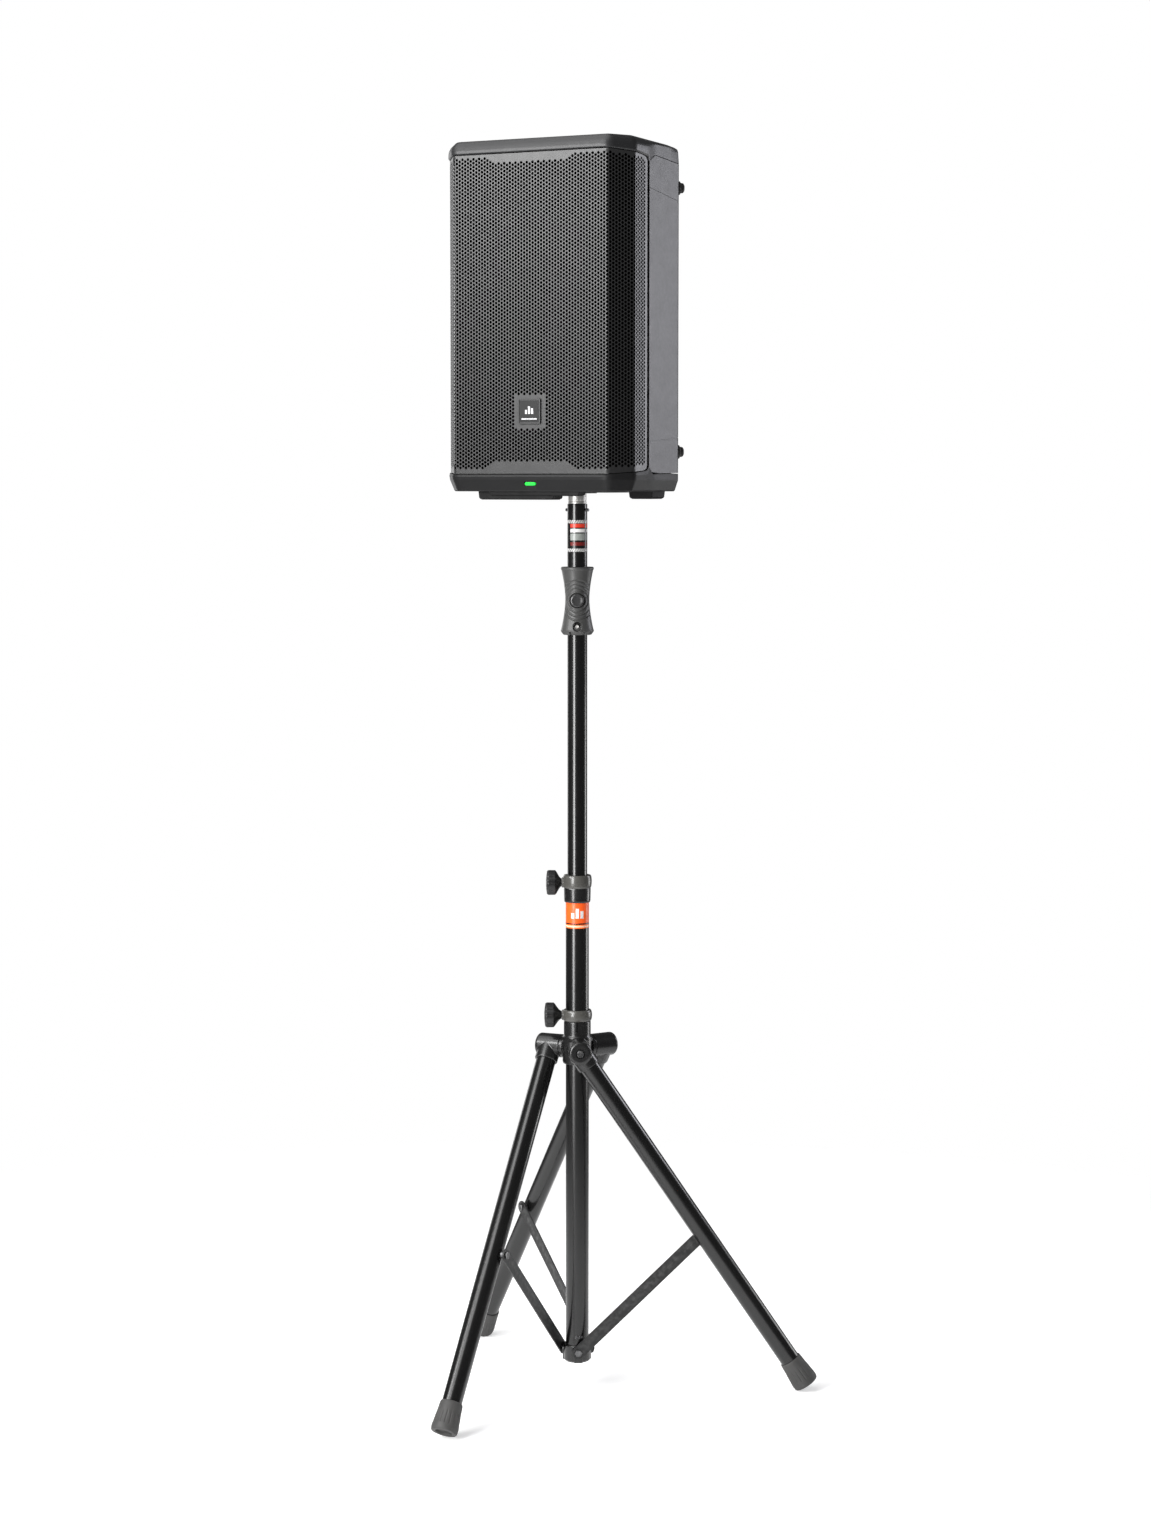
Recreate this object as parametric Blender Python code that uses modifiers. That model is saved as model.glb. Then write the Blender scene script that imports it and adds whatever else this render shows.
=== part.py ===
"""A two-way powered PA speaker on a gas-assisted tripod stand.

Metres, +Z up. The speaker faces -Y. Everything is placed from the pole's axis, and at the end
the whole object is moved so that the frame's origin is on the floor, at the middle of its box.
"""
import math

import bmesh
import bpy
from mathutils import Matrix, Vector

# ---------------------------------------------------------------- driving dimensions, stand
LEG_AZIMUTHS = (34.0, 154.0, 274.0)   # the way each leg swings out, degrees
LEG_ANGLE = math.radians(34.0)        # leg to the vertical
HUB_Z = 0.6714                        # height of the leg pivots
BRACKET_Z = 0.0751                    # height of the lower brace pivots
LEG_OFFSET = 0.0587                   # leg plane to the pole's axis
BRACE_OFFSET = 0.0311                 # brace plane to the pole's axis
BRACE_PIVOT = 0.4374                  # down the leg, hub pivot to brace pivot
LEG_END = 0.7923                      # down the leg, hub pivot to the end of the foot
LEG_R = 0.019
LEG_WALL = 0.0018
COLUMN_R = 0.02225
COLUMN_WALL = 0.0018
COLUMN_Z = (0.0600, 0.9750)
POLE_R = 0.01905
POLE_WALL = 0.002
POLE_Z = (0.5410, 1.7215)
SPIGOT_R = 0.0175
SPIGOT_TOP = 1.8150
FRONT_AZIMUTH = -60.0                 # the stand's front: grip button, neck slot
KNOB_AZIMUTH = 210.0                  # the side the clamp knobs stand out on
UPPER_CLAMP_Z = 0.9927
LOWER_CLAMP_Z = 0.7345
GRIP_Z = (1.4712, 1.6012)
BUTTON_Z = 1.5375
GAP = 0.0003                          # between pieces that touch
RUN = 0.00035                         # running clearance round a shaft or tube

# -------------------------------------------------------------- driving dimensions, speaker
FRONT_Y = -0.177                      # grille face
BACK_Y = 0.160
HALF_FACE = 0.1665                    # half width of the flat front
HALF_WIDTH = 0.200
CHAMFER_Y = -0.136                    # where the front corner meets the side
GRILLE_BACK_Y = -0.083
SIDE_END_Y = 0.036                    # where the side turns in to the back
HALF_BACK = 0.098
BASE_Z = 1.7455
SHELL_Z = (1.7775, 2.3730)
TOP_Z = 2.3995
WALL = 0.006
BAFFLE_Y = -0.158
WOOFER_Z = 1.950
HORN_Z = 2.232
PANEL_Z = (1.840, 2.300)
HALF_PANEL = 0.082

TURN_STEPS = 20
MERGE = 0.00001

parts = None
cutters = None
axis_root = None


# ------------------------------------------------------------------------------- scene set-up
def clear_scene():
    for obj in list(bpy.data.objects):
        bpy.data.objects.remove(obj, do_unlink=True)


def new_collection(name):
    collection = bpy.data.collections.new(name)
    bpy.context.scene.collection.children.link(collection)
    return collection


def material(name, color, roughness, metallic=0.0):
    found = bpy.data.materials.get(name)
    if found:
        return found
    made = bpy.data.materials.new(name)
    made.use_nodes = True
    shader = made.node_tree.nodes["Principled BSDF"]
    shader.inputs["Base Color"].default_value = (*color, 1.0)
    shader.inputs["Roughness"].default_value = roughness
    shader.inputs["Metallic"].default_value = metallic
    made.diffuse_color = (*color, 1.0)
    return made


def black_tube():
    return material("black_tube", (0.012, 0.012, 0.013), 0.28, 0.3)


def cast_black():
    return material("cast_black", (0.045, 0.045, 0.048), 0.5)


def black_plastic():
    return material("black_plastic", (0.03, 0.03, 0.032), 0.45)


def cabinet_plastic():
    return material("cabinet_plastic", (0.10, 0.10, 0.105), 0.6)


def rubber():
    return material("rubber", (0.03, 0.03, 0.03), 0.8)


def chrome():
    return material("chrome", (0.75, 0.75, 0.76), 0.15, 1.0)


def zinc_steel():
    return material("zinc_steel", (0.22, 0.22, 0.23), 0.4, 1.0)


# ---------------------------------------------------------------------------- shape helpers
def link(obj, collection):
    for old in list(obj.users_collection):
        old.objects.unlink(obj)
    collection.objects.link(obj)


def place(obj, parent=None, location=None, rotation=None):
    obj.parent = parent or axis_root
    if location is not None:
        obj.location = location
    if rotation is not None:
        obj.rotation_euler = rotation


def finish(obj, name, mat, parent=None, location=None, rotation=None, smooth=True):
    obj.name = name
    obj.data.name = name
    link(obj, parts)
    obj.data.materials.clear()
    obj.data.materials.append(mat)
    if smooth:
        obj.data.shade_smooth()
        obj.data.set_sharp_from_angle(angle=math.radians(35))
    place(obj, parent, location, rotation)
    return obj


def object_from(bm, name="shape"):
    bmesh.ops.recalc_face_normals(bm, faces=bm.faces)
    mesh = bpy.data.meshes.new(name)
    bm.to_mesh(mesh)
    bm.free()
    obj = bpy.data.objects.new(name, mesh)
    parts.objects.link(obj)
    return obj


def box(low, high):
    """A box between two corners, its origin at the local zero."""
    bm = bmesh.new()
    bmesh.ops.create_cube(bm, size=1.0)
    size = [h - l for l, h in zip(low, high)]
    mid = [(h + l) / 2 for l, h in zip(low, high)]
    bmesh.ops.scale(bm, vec=size, verts=bm.verts)
    bmesh.ops.translate(bm, vec=mid, verts=bm.verts)
    return object_from(bm)


def cylinder(radius, start, end, axis="Z", sides=TURN_STEPS, end_radius=None):
    """A cylinder or cone along one local axis from start to end."""
    bm = bmesh.new()
    bmesh.ops.create_cone(bm, cap_ends=True, segments=sides, radius1=radius,
                          radius2=radius if end_radius is None else end_radius, depth=end - start)
    bmesh.ops.translate(bm, vec=(0, 0, (start + end) / 2), verts=bm.verts)
    turn = {"Z": None, "Y": (-math.pi / 2, "X"), "X": (math.pi / 2, "Y")}[axis]
    if turn:
        from_z = Matrix.Rotation(turn[0], 3, turn[1])
        bmesh.ops.rotate(bm, cent=(0, 0, 0), matrix=from_z, verts=bm.verts)
    return object_from(bm)


def turned(profile, steps=TURN_STEPS, closed=False):
    """Turn a profile of (radius, height) points about Z. It runs down the outer side."""
    bm = bmesh.new()
    points = [bm.verts.new((r, 0.0, z)) for r, z in profile]
    for a, b in zip(points, points[1:]):
        bm.edges.new((a, b))
    if closed:
        bm.edges.new((points[-1], points[0]))
    mesh = bpy.data.meshes.new("turned")
    bm.to_mesh(mesh)
    bm.free()
    obj = bpy.data.objects.new("turned", mesh)
    parts.objects.link(obj)
    screw = obj.modifiers.new("turn", "SCREW")
    screw.axis = "Z"
    screw.steps = steps
    screw.render_steps = steps
    screw.use_merge_vertices = True
    screw.merge_threshold = MERGE
    screw.use_smooth_shade = True
    return obj


def prism(outline, low, high, holes=()):
    """A flat outline, with round or straight holes, extruded in Z from low to high."""
    curve = bpy.data.curves.new("outline", "CURVE")
    curve.dimensions = "2D"
    curve.fill_mode = "BOTH"
    curve.extrude = (high - low) / 2
    for loop in (outline, *holes):
        spline = curve.splines.new("POLY")
        spline.points.add(len(loop) - 1)
        for point, (x, y) in zip(spline.points, loop):
            point.co = (x, y, 0.0, 1.0)
        spline.use_cyclic_u = True
    guide = bpy.data.objects.new("outline", curve)
    parts.objects.link(guide)
    guide.location.z = (high + low) / 2
    bpy.context.view_layer.update()
    evaluated = guide.evaluated_get(bpy.context.evaluated_depsgraph_get())
    mesh = bpy.data.meshes.new_from_object(evaluated)
    mesh.transform(guide.matrix_world)
    bm = bmesh.new()
    bm.from_mesh(mesh)
    bmesh.ops.remove_doubles(bm, verts=bm.verts, dist=MERGE)
    bpy.data.objects.remove(guide, do_unlink=True)
    bpy.data.meshes.remove(mesh)
    return object_from(bm)


def loft(rings, close_ends=True):
    """Skin between rings that have the same number of points each."""
    bm = bmesh.new()
    loops = [[bm.verts.new(point) for point in ring] for ring in rings]
    count = len(loops[0])
    for lower, upper in zip(loops, loops[1:]):
        for i in range(count):
            j = (i + 1) % count
            bm.faces.new((lower[i], lower[j], upper[j], upper[i]))
    if close_ends:
        bm.faces.new(loops[0])
        bm.faces.new(loops[-1])
    return object_from(bm)


def boolean(target, tool, operation):
    link(tool, cutters)
    tool.name = f"{target.name}_{operation.lower()}"
    tool.hide_render = True
    tool.display_type = "WIRE"
    tool.parent = target
    modifier = target.modifiers.new(operation.lower(), "BOOLEAN")
    modifier.operation = operation
    modifier.solver = "EXACT"
    modifier.object = tool
    return tool


def cut(target, tool, location=None, rotation=None):
    boolean(target, tool, "DIFFERENCE")
    place_tool(tool, location, rotation)


def join(target, tool, location=None, rotation=None):
    boolean(target, tool, "UNION")
    place_tool(tool, location, rotation)


def place_tool(tool, location, rotation):
    if location is not None:
        tool.location = location
    if rotation is not None:
        tool.rotation_euler = rotation


def bevel(obj, width, segments=1, angle=40):
    modifier = obj.modifiers.new("edge", "BEVEL")
    modifier.width = width
    modifier.segments = segments
    modifier.limit_method = "ANGLE"
    modifier.angle_limit = math.radians(angle)
    return obj


def circle(radius, count=16, center=(0.0, 0.0), phase=0.0):
    turn = 2 * math.pi / count
    return [(center[0] + radius * math.cos(phase + i * turn),
             center[1] + radius * math.sin(phase + i * turn)) for i in range(count)]


def heading(azimuth, radius=1.0):
    angle = math.radians(azimuth)
    return Vector((radius * math.cos(angle), radius * math.sin(angle), 0.0))


def joint_empty(name, location, rotation=(0, 0, 0), parent=None):
    empty = bpy.data.objects.new(name, None)
    parts.objects.link(empty)
    empty.empty_display_size = 0.03
    empty.parent = parent or axis_root
    empty.location = location
    empty.rotation_euler = rotation
    return empty


# -------------------------------------------------------------------------- stand, root body
def column_tube():
    inner = COLUMN_R - COLUMN_WALL
    low, high = COLUMN_Z
    obj = turned([(COLUMN_R, high), (COLUMN_R, low), (inner, low), (inner, high)], closed=True)
    return finish(obj, "column_tube", black_tube())


def knob_hole(obj, height, start, end):
    """The threaded hole that a clamp knob's screw turns in."""
    tool = cylinder(0.0044, start, end, axis="X", sides=16)
    cut(obj, tool, (0, 0, height), (0, 0, math.radians(KNOB_AZIMUTH)))


def knob_boss(obj, height, end):
    tool = cylinder(0.0100, 0.0245, end, axis="X", sides=16)
    join(obj, tool, (0, 0, height), (0, 0, math.radians(KNOB_AZIMUTH)))


def upper_collar():
    """Cast collar on top of the column: it guides the pole, and its knob clamps it."""
    bore = POLE_R + RUN
    socket = COLUMN_R + RUN
    top = 1.0077
    shoulder = COLUMN_Z[1] + GAP
    profile = [(0.0258, top), (0.0279, top - 0.0030), (0.0279, 0.9850), (0.0262, 0.9820),
               (0.0258, 0.9815), (0.0252, 0.9570), (0.0244, 0.9548), (socket, 0.9548),
               (socket, shoulder), (bore, shoulder), (bore, top)]
    obj = finish(turned(profile, 24, closed=True), "upper_collar", cast_black())
    knob_boss(obj, UPPER_CLAMP_Z, 0.0300)
    knob_hole(obj, UPPER_CLAMP_Z, 0.0150, 0.0320)


def clamp_knob(name, height, screw_tip, head_start, head_end):
    """Lobed clamp knob with a flared neck and a screw; it turns about its own X axis."""
    seat = 0.0304
    pivot = joint_empty(f"{name}_axis", (0, 0, height), (0, 0, math.radians(KNOB_AZIMUTH)))
    flare = head_start - seat
    profile = [(0.0, head_end), (0.0150, head_end), (0.0230, head_end - 0.0025),
               (0.0243, head_end - 0.0060), (0.0240, head_start + 0.0020),
               (0.0205, head_start), (0.0130, seat + flare * 0.60),
               (0.0090, seat + flare * 0.30), (0.0078, seat), (0.0040, seat),
               (0.0040, screw_tip), (0.0, screw_tip)]
    obj = finish(turned(profile, 20), name, black_plastic(), pivot, (0, 0, 0), (0, math.pi / 2, 0))
    for i in range(5):
        angle = math.radians(72 * i + 36)
        tool = cylinder(0.0105, head_start - 0.004, head_end + 0.004, sides=8)
        cut(obj, tool, (0.0300 * math.cos(angle), 0.0300 * math.sin(angle), 0))
    return obj


def bottom_bracket():
    """Cup under the column that carries the braces on three lugs."""
    low, high, floor = 0.0530, 0.0872, COLUMN_Z[0] - GAP
    pocket = COLUMN_R + RUN
    profile = [(0.0, floor), (pocket, floor), (pocket, high), (0.0245, high),
               (0.0262, high - 0.0020), (0.0262, low + 0.0040), (0.0225, low), (0.0, low)]
    obj = finish(turned(profile, 24), "bottom_bracket", cast_black())
    face = BRACE_OFFSET - 0.0015 - RUN
    for azimuth in LEG_AZIMUTHS:
        spin = (0, 0, math.radians(azimuth))
        lug = cylinder(0.0120, -face, -0.0240, axis="Y", sides=16)
        join(obj, lug, (0, 0, BRACKET_Z), spin)
        hole = cylinder(0.0043, -face - 0.004, -0.0238, axis="Y", sides=12)
        cut(obj, hole, (0, 0, BRACKET_Z), spin)


def hex_bolt(name, mat, parent, head, shank, tip, washer=None):
    """A bolt along local Y: hexagon head between two values, shank down to tip."""
    head_r = 0.0072
    obj = cylinder(head_r, min(head), max(head), axis="Y", sides=6)
    obj = finish(obj, name, mat, parent, (0, 0, 0), (0, 0, 0), smooth=False)
    middle = sum(head) / 2
    join(obj, cylinder(shank, min(middle, tip), max(middle, tip), axis="Y", sides=12))
    if washer:
        join(obj, cylinder(0.0078, min(washer), max(washer), axis="Y", sides=16))
    return obj


def gas_spring_rod():
    """The lift spring's rod stands in the column and carries the piston in the cylinder."""
    foot, top = COLUMN_Z[0] + GAP, 1.1900
    profile = [(0.0, top), (0.0084, top), (0.0084, top - 0.0120), (0.0050, top - 0.0120),
               (0.0050, foot + 0.0100), (0.0150, foot + 0.0080), (0.0150, foot), (0.0, foot)]
    return finish(turned(profile, 16), "gas_spring_rod", chrome())


# ----------------------------------------------------------------------------- stand, hub
def leg_hub():
    bore = COLUMN_R + RUN
    top = LOWER_CLAMP_Z - 0.0112
    profile = [(0.0253, top), (0.0260, top - 0.0010), (0.0260, 0.6950), (0.0284, 0.6925),
               (0.0284, 0.6440), (0.0268, 0.6400), (bore, 0.6400), (bore, top)]
    obj = finish(turned(profile, 24, closed=True), "leg_hub", cast_black())
    for azimuth in LEG_AZIMUTHS:
        spin = (0, 0, math.radians(azimuth))
        arm = cylinder(0.0222, -0.0314, -0.0240, axis="Y", sides=20)
        join(obj, arm, (0, 0, HUB_Z), spin)
        hole = cylinder(0.0043, -0.0330, -0.0246, axis="Y", sides=12)
        cut(obj, hole, (0, 0, HUB_Z), spin)
    slot = box((0.0150, -0.0019, 0.7040), (0.0300, 0.0019, top + 0.0050))
    cut(obj, slot, (0, 0, 0), (0, 0, math.radians(FRONT_AZIMUTH)))


def lower_collar():
    bore = COLUMN_R + RUN
    low, high = LOWER_CLAMP_Z - 0.0109, LOWER_CLAMP_Z + 0.0109
    profile = [(0.0262, high), (0.0286, high - 0.0030), (0.0286, low + 0.0030),
               (0.0266, low), (bore, low), (bore, high)]
    obj = finish(turned(profile, 24, closed=True), "lower_collar", cast_black())
    knob_boss(obj, LOWER_CLAMP_Z, 0.0300)
    knob_hole(obj, LOWER_CLAMP_Z, 0.0180, 0.0320)


# ------------------------------------------------------------------------------ stand, legs
def leg(number, azimuth):
    """Leg parts in a frame on the hub pivot: leg down -Z, joint axis along Y, column at +Y."""
    pivot = joint_empty(f"leg_{number}_axis", -heading(azimuth + 90, LEG_OFFSET)
                        + Vector((0, 0, HUB_Z)), (0, -LEG_ANGLE, math.radians(azimuth)))
    inner_face = LEG_OFFSET - 0.0314 - RUN
    outer_face = -0.0245
    barrel = cylinder(0.0226, outer_face, inner_face, axis="Y", sides=20)
    knuckle = finish(barrel, f"leg_knuckle_{number}", cast_black(), pivot, (0, 0, 0), (0, 0, 0))
    bevel(knuckle, 0.0040, 1, 60)
    sleeve_end = -0.0340
    join(knuckle, cylinder(0.0222, sleeve_end, 0.0, sides=20))
    socket = LEG_R + RUN / 2
    cut(knuckle, cylinder(socket, sleeve_end - 0.004, -0.0115))
    cut(knuckle, cylinder(0.0043, outer_face - 0.01, inner_face + 0.01, axis="Y", sides=12))
    cut(knuckle, cylinder(0.0092, outer_face - 0.01, outer_face + 0.0035, axis="Y", sides=16))

    tube_top, tube_end = -0.0118, -LEG_END + 0.012
    inner = LEG_R - LEG_WALL
    tube = turned([(LEG_R, tube_top), (LEG_R, tube_end), (inner, tube_end), (inner, tube_top)],
                  closed=True)
    finish(tube, f"leg_tube_{number}", black_tube(), pivot, (0, 0, 0), (0, 0, 0))

    foot_top, foot_end = -LEG_END + 0.058, -LEG_END
    hold = LEG_R + RUN / 2
    floor = foot_end + 0.0117
    profile = [(0.0208, foot_top), (0.0220, foot_top - 0.0020), (0.0225, foot_top - 0.0190),
               (0.0240, foot_top - 0.0220), (0.0258, foot_end + 0.0100), (0.0256, foot_end + 0.0030),
               (0.0240, foot_end), (0.0150, foot_end), (0.0130, foot_end + 0.0050),
               (0.0, foot_end + 0.0050), (0.0, floor), (hold, floor), (hold, foot_top)]
    profile = profile[-3:] + profile[:-3]
    finish(turned(profile, 20), f"leg_foot_{number}", rubber(), pivot, (0, 0, 0), (0, 0, 0))

    hub_frame = joint_empty(f"leg_bolt_{number}_seat", pivot.location, (0, 0, math.radians(azimuth)))
    hex_bolt(f"leg_bolt_{number}", zinc_steel(), hub_frame, (outer_face - 0.0025,
             outer_face + 0.0031), 0.0040, LEG_OFFSET - 0.0250)


def brace(number, azimuth):
    """Flat brace from its lug on the bottom bracket up to the leg."""
    across = BRACE_PIVOT * math.sin(LEG_ANGLE)
    up = HUB_Z - BRACE_PIVOT * math.cos(LEG_ANGLE) - BRACKET_Z
    length = math.hypot(across, up)
    lean = math.atan2(across, up)
    pivot = joint_empty(f"brace_{number}_axis", -heading(azimuth + 90, BRACE_OFFSET)
                        + Vector((0, 0, BRACKET_Z)), (0, lean, math.radians(azimuth)))
    half, count = 0.0122, 9
    ends = []
    for center, start in ((length, 0.0), (0.0, math.pi)):
        for i in range(count):
            angle = start + math.pi * i / (count - 1)
            ends.append((half * math.cos(angle), center + half * math.sin(angle)))
    hole = 0.0043
    bar = prism(ends, -0.0015, 0.0015, (circle(hole, 12), circle(hole, 12, (0.0, length))))
    bar.data.transform(Matrix.Rotation(math.pi / 2, 4, "X"))
    finish(bar, f"brace_{number}", black_tube(), pivot, (0, 0, 0), (0, 0, 0), smooth=False)
    leg_side = -(LEG_OFFSET - LEG_R - BRACE_OFFSET) + 0.0004
    end = joint_empty(f"brace_{number}_end", (0, 0, length), (0, 0, 0), pivot)
    hex_bolt(f"brace_bolt_{number}", zinc_steel(), end, (0.0018, 0.0056), 0.0040,
             leg_side, (-0.0018, leg_side))
    seat = joint_empty(f"bracket_bolt_{number}_seat", pivot.location, (0, 0, math.radians(azimuth)))
    hex_bolt(f"bracket_bolt_{number}", zinc_steel(), seat, (-0.0054, -0.0018), 0.0040, 0.0064)


# ------------------------------------------------------------------------------ stand, pole
def inner_pole():
    low, high = POLE_Z
    inner = POLE_R - POLE_WALL
    obj = turned([(POLE_R, high), (POLE_R, low), (inner, low), (inner, high)], closed=True)
    finish(obj, "inner_pole", black_tube())
    cut(obj, cylinder(0.0034, -0.03, 0.03, axis="X", sides=12), (0, 0, 1.7100))


def pole_bushing():
    low = POLE_Z[0]
    bore, plug, ring = 0.0125, POLE_R - POLE_WALL - RUN, COLUMN_R - COLUMN_WALL - RUN
    profile = [(plug, low + 0.0250), (plug, low - GAP), (ring, low - GAP), (ring, low - 0.0150),
               (bore, low - 0.0150), (bore, low + 0.0250)]
    finish(turned(profile, closed=True), "pole_bushing", black_plastic())


def gas_spring_cylinder():
    low, high = 0.8000, 1.6600
    outer, inner, mouth = 0.0110, 0.0090, 0.0055
    profile = [(0.0, high), (outer, high), (outer, low), (mouth, low), (mouth, low + 0.0120),
               (inner, low + 0.0120), (inner, high - 0.0060), (0.0, high - 0.0060)]
    finish(turned(profile, 16), "gas_spring_cylinder", zinc_steel())


def spigot():
    """Steel post that the speaker drops onto, pinned in the top of the pole."""
    shoulder = POLE_Z[1] + GAP
    stub = POLE_R - POLE_WALL - RUN
    profile = [(0.0, SPIGOT_TOP), (SPIGOT_R - 0.0030, SPIGOT_TOP), (SPIGOT_R, SPIGOT_TOP - 0.0040),
               (SPIGOT_R, shoulder), (stub, shoulder - 0.0001), (stub, 1.6750), (0.0, 1.6750)]
    obj = finish(turned(profile), "spigot", chrome())
    cut(obj, cylinder(0.0034, -0.03, 0.03, axis="X", sides=12), (0, 0, 1.7100))


def cross_pin():
    obj = cylinder(0.0030, -0.0250, 0.0250, axis="X", sides=12)
    finish(obj, "cross_pin", zinc_steel(), None, (0, 0, 1.7100), (0, 0, 0))


def grip():
    """Moulded hand grip fixed on the pole, with the lift spring's release button."""
    bore = POLE_R + RUN / 2
    low, high = GRIP_Z
    waist = BUTTON_Z + 0.002
    outer = [(0.0300, high), (0.0316, high - 0.0020), (0.0312, high - 0.0090)]
    count = 5
    for i in range(1, count):
        part = i / count
        z = high - 0.0090 - part * (high - 0.0090 - low - 0.0110)
        r = 0.0236 + 0.0084 * abs((z - waist) / (0.5 * (high - low))) ** 1.7
        outer.append((r, z))
    outer += [(0.0322, low + 0.0110), (0.0318, low + 0.0070), (0.0262, low + 0.0010),
              (0.0250, low), (bore, low), (bore, high)]
    obj = finish(turned(outer, 20, closed=True), "grip", material("grip_rubber",
                 (0.06, 0.06, 0.062), 0.55))
    spin = (0, 0, math.radians(FRONT_AZIMUTH))
    join(obj, cylinder(0.0160, 0.0200, 0.0258, axis="X", sides=20, end_radius=0.0150),
         (0, 0, BUTTON_Z), spin)
    cut(obj, cylinder(0.0136, 0.0205, 0.0300, axis="X", sides=20), (0, 0, BUTTON_Z), spin)
    cut(obj, cylinder(0.0070, 0.0250, 0.0400, axis="X", sides=16), (0, 0, 1.4873), spin)


def grip_button():
    spin = (0, 0, math.radians(FRONT_AZIMUTH))
    profile = [(0.0, 0.0278), (0.0100, 0.0274), (0.0130, 0.0262), (0.0132, 0.0238), (0.0, 0.0238)]
    seat = joint_empty("grip_button_axis", (0, 0, BUTTON_Z), spin)
    finish(turned(profile, 20), "grip_button", material("gloss_black", (0.01, 0.01, 0.01), 0.1),
           seat, (0, 0, 0), (0, math.pi / 2, 0))


# --------------------------------------------------------------------------- speaker cabinet
def plan(inset=0.0):
    """The cabinet's eight-sided plan, anticlockwise from the left end of the front."""
    half = [(HALF_FACE, FRONT_Y), (HALF_WIDTH, CHAMFER_Y), (HALF_WIDTH, SIDE_END_Y),
            (HALF_BACK, BACK_Y)]
    outline = [(-half[0][0], half[0][1])] + half + [(-x, y) for x, y in reversed(half[1:])]
    return offset(outline, inset) if inset else outline


def offset(outline, inset, closed=True):
    """Move every side of an anticlockwise outline inwards by the same distance."""
    result = []
    count = len(outline)
    for i, point in enumerate(outline):
        here = Vector(point)
        before = here - Vector(outline[i - 1])
        after = Vector(outline[(i + 1) % count]) - here
        if not closed and i == 0:
            before = after
        if not closed and i == count - 1:
            after = before
        n1 = Vector((-before.y, before.x)).normalized()
        n2 = Vector((-after.y, after.x)).normalized()
        middle = (n1 + n2).normalized()
        result.append(tuple(here + middle * (inset / middle.dot(n1))))
    return result


def ring(inset, height, tilt=0.0):
    return [(x, y, height - tilt * (y - FRONT_Y)) for x, y in plan(inset)]


def cabinet_shell():
    """Rear half of the cabinet: sides, back, top and bottom, open at the front."""
    low, high = SHELL_Z[0] + GAP, SHELL_Z[1] - GAP
    front = GRILLE_BACK_Y + 0.0010
    outer = [(-HALF_WIDTH, front), (HALF_WIDTH, front), (HALF_WIDTH, SIDE_END_Y),
             (HALF_BACK, BACK_Y), (-HALF_BACK, BACK_Y), (-HALF_WIDTH, SIDE_END_Y)]
    obj = finish(prism(outer, low, high), "cabinet_shell", cabinet_plastic(), smooth=False)
    inner = offset(outer, WALL)
    inner[0] = (inner[0][0], front - 0.010)
    inner[1] = (inner[1][0], front - 0.010)
    cut(obj, prism(inner, low + WALL, high - WALL))
    cut(obj, box((-HALF_PANEL, 0.12, PANEL_Z[0]), (HALF_PANEL, 0.19, PANEL_Z[1])))
    cut(obj, box((-0.0758, -0.0458, high - 0.02), (0.0758, 0.0458, high + 0.02)))
    cut(obj, cylinder(0.0236, low - 0.02, low + 0.02))
    side = math.atan2(BACK_Y - SIDE_END_Y, HALF_WIDTH - HALF_BACK)
    for sign in (-1, 1):
        for height in (1.8200, 2.3145):
            bumper = turned([(0.0, 0.0130), (0.0070, 0.0124), (0.0115, 0.0095), (0.0130, 0.0),
                             (0.0130, -0.0030), (0.0, -0.0030)], 16)
            where = (sign * (HALF_WIDTH - 0.0110), SIDE_END_Y + 0.0134, height)
            join(obj, bumper, where, (0, math.pi / 2, math.pi / 2 - sign * side))


def front_baffle():
    """Front half of the cabinet, behind the grille: it carries the woofer and the horn."""
    low, high = SHELL_Z[0] + GAP, SHELL_Z[1] - GAP
    back = GRILLE_BACK_Y + 0.0007
    half = [(0.1600, BAFFLE_Y), (HALF_WIDTH - 0.0040, CHAMFER_Y + 0.0090),
            (HALF_WIDTH - 0.0040, back)]
    outer = [(-x, y) for x, y in half[:1]] + half + [(-x, y) for x, y in reversed(half[1:])]
    obj = finish(prism(outer, low, high), "front_baffle", cabinet_plastic(), smooth=False)
    inner = offset(outer, WALL)
    inner[3] = (inner[3][0], back + 0.010)
    inner[4] = (inner[4][0], back + 0.010)
    cut(obj, prism(inner, low + WALL, high - WALL))
    cut(obj, cylinder(0.1420, BAFFLE_Y - 0.02, BAFFLE_Y + 0.02, axis="Y", sides=28),
        (0, 0, WOOFER_Z))
    cut(obj, box((-0.1300, BAFFLE_Y - 0.02, HORN_Z - 0.0820),
                 (0.1300, BAFFLE_Y + 0.02, HORN_Z + 0.0820)))


def top_cap():
    """Moulded cap over the cabinet, with the opening for the handle."""
    tilt = 0.045
    low = SHELL_Z[1] + GAP
    rings = [ring(0.0, low), ring(-0.0035, low + 0.0040, tilt * 0.2), ring(-0.0025, low + 0.0105,
             tilt * 0.5), ring(0.0035, TOP_Z - 0.0080, tilt), ring(0.0110, TOP_Z, tilt)]
    obj = finish(loft(rings), "top_cap", cabinet_plastic())
    hollow = [ring(0.0050, low - 0.01), ring(0.0060, low + 0.0090, tilt * 0.5),
              ring(0.0150, TOP_Z - 0.0050, tilt)]
    cut(obj, loft(hollow))
    cut(obj, box((-0.0758, -0.0458, low - 0.02), (0.0758, 0.0458, TOP_Z + 0.02)))


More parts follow.
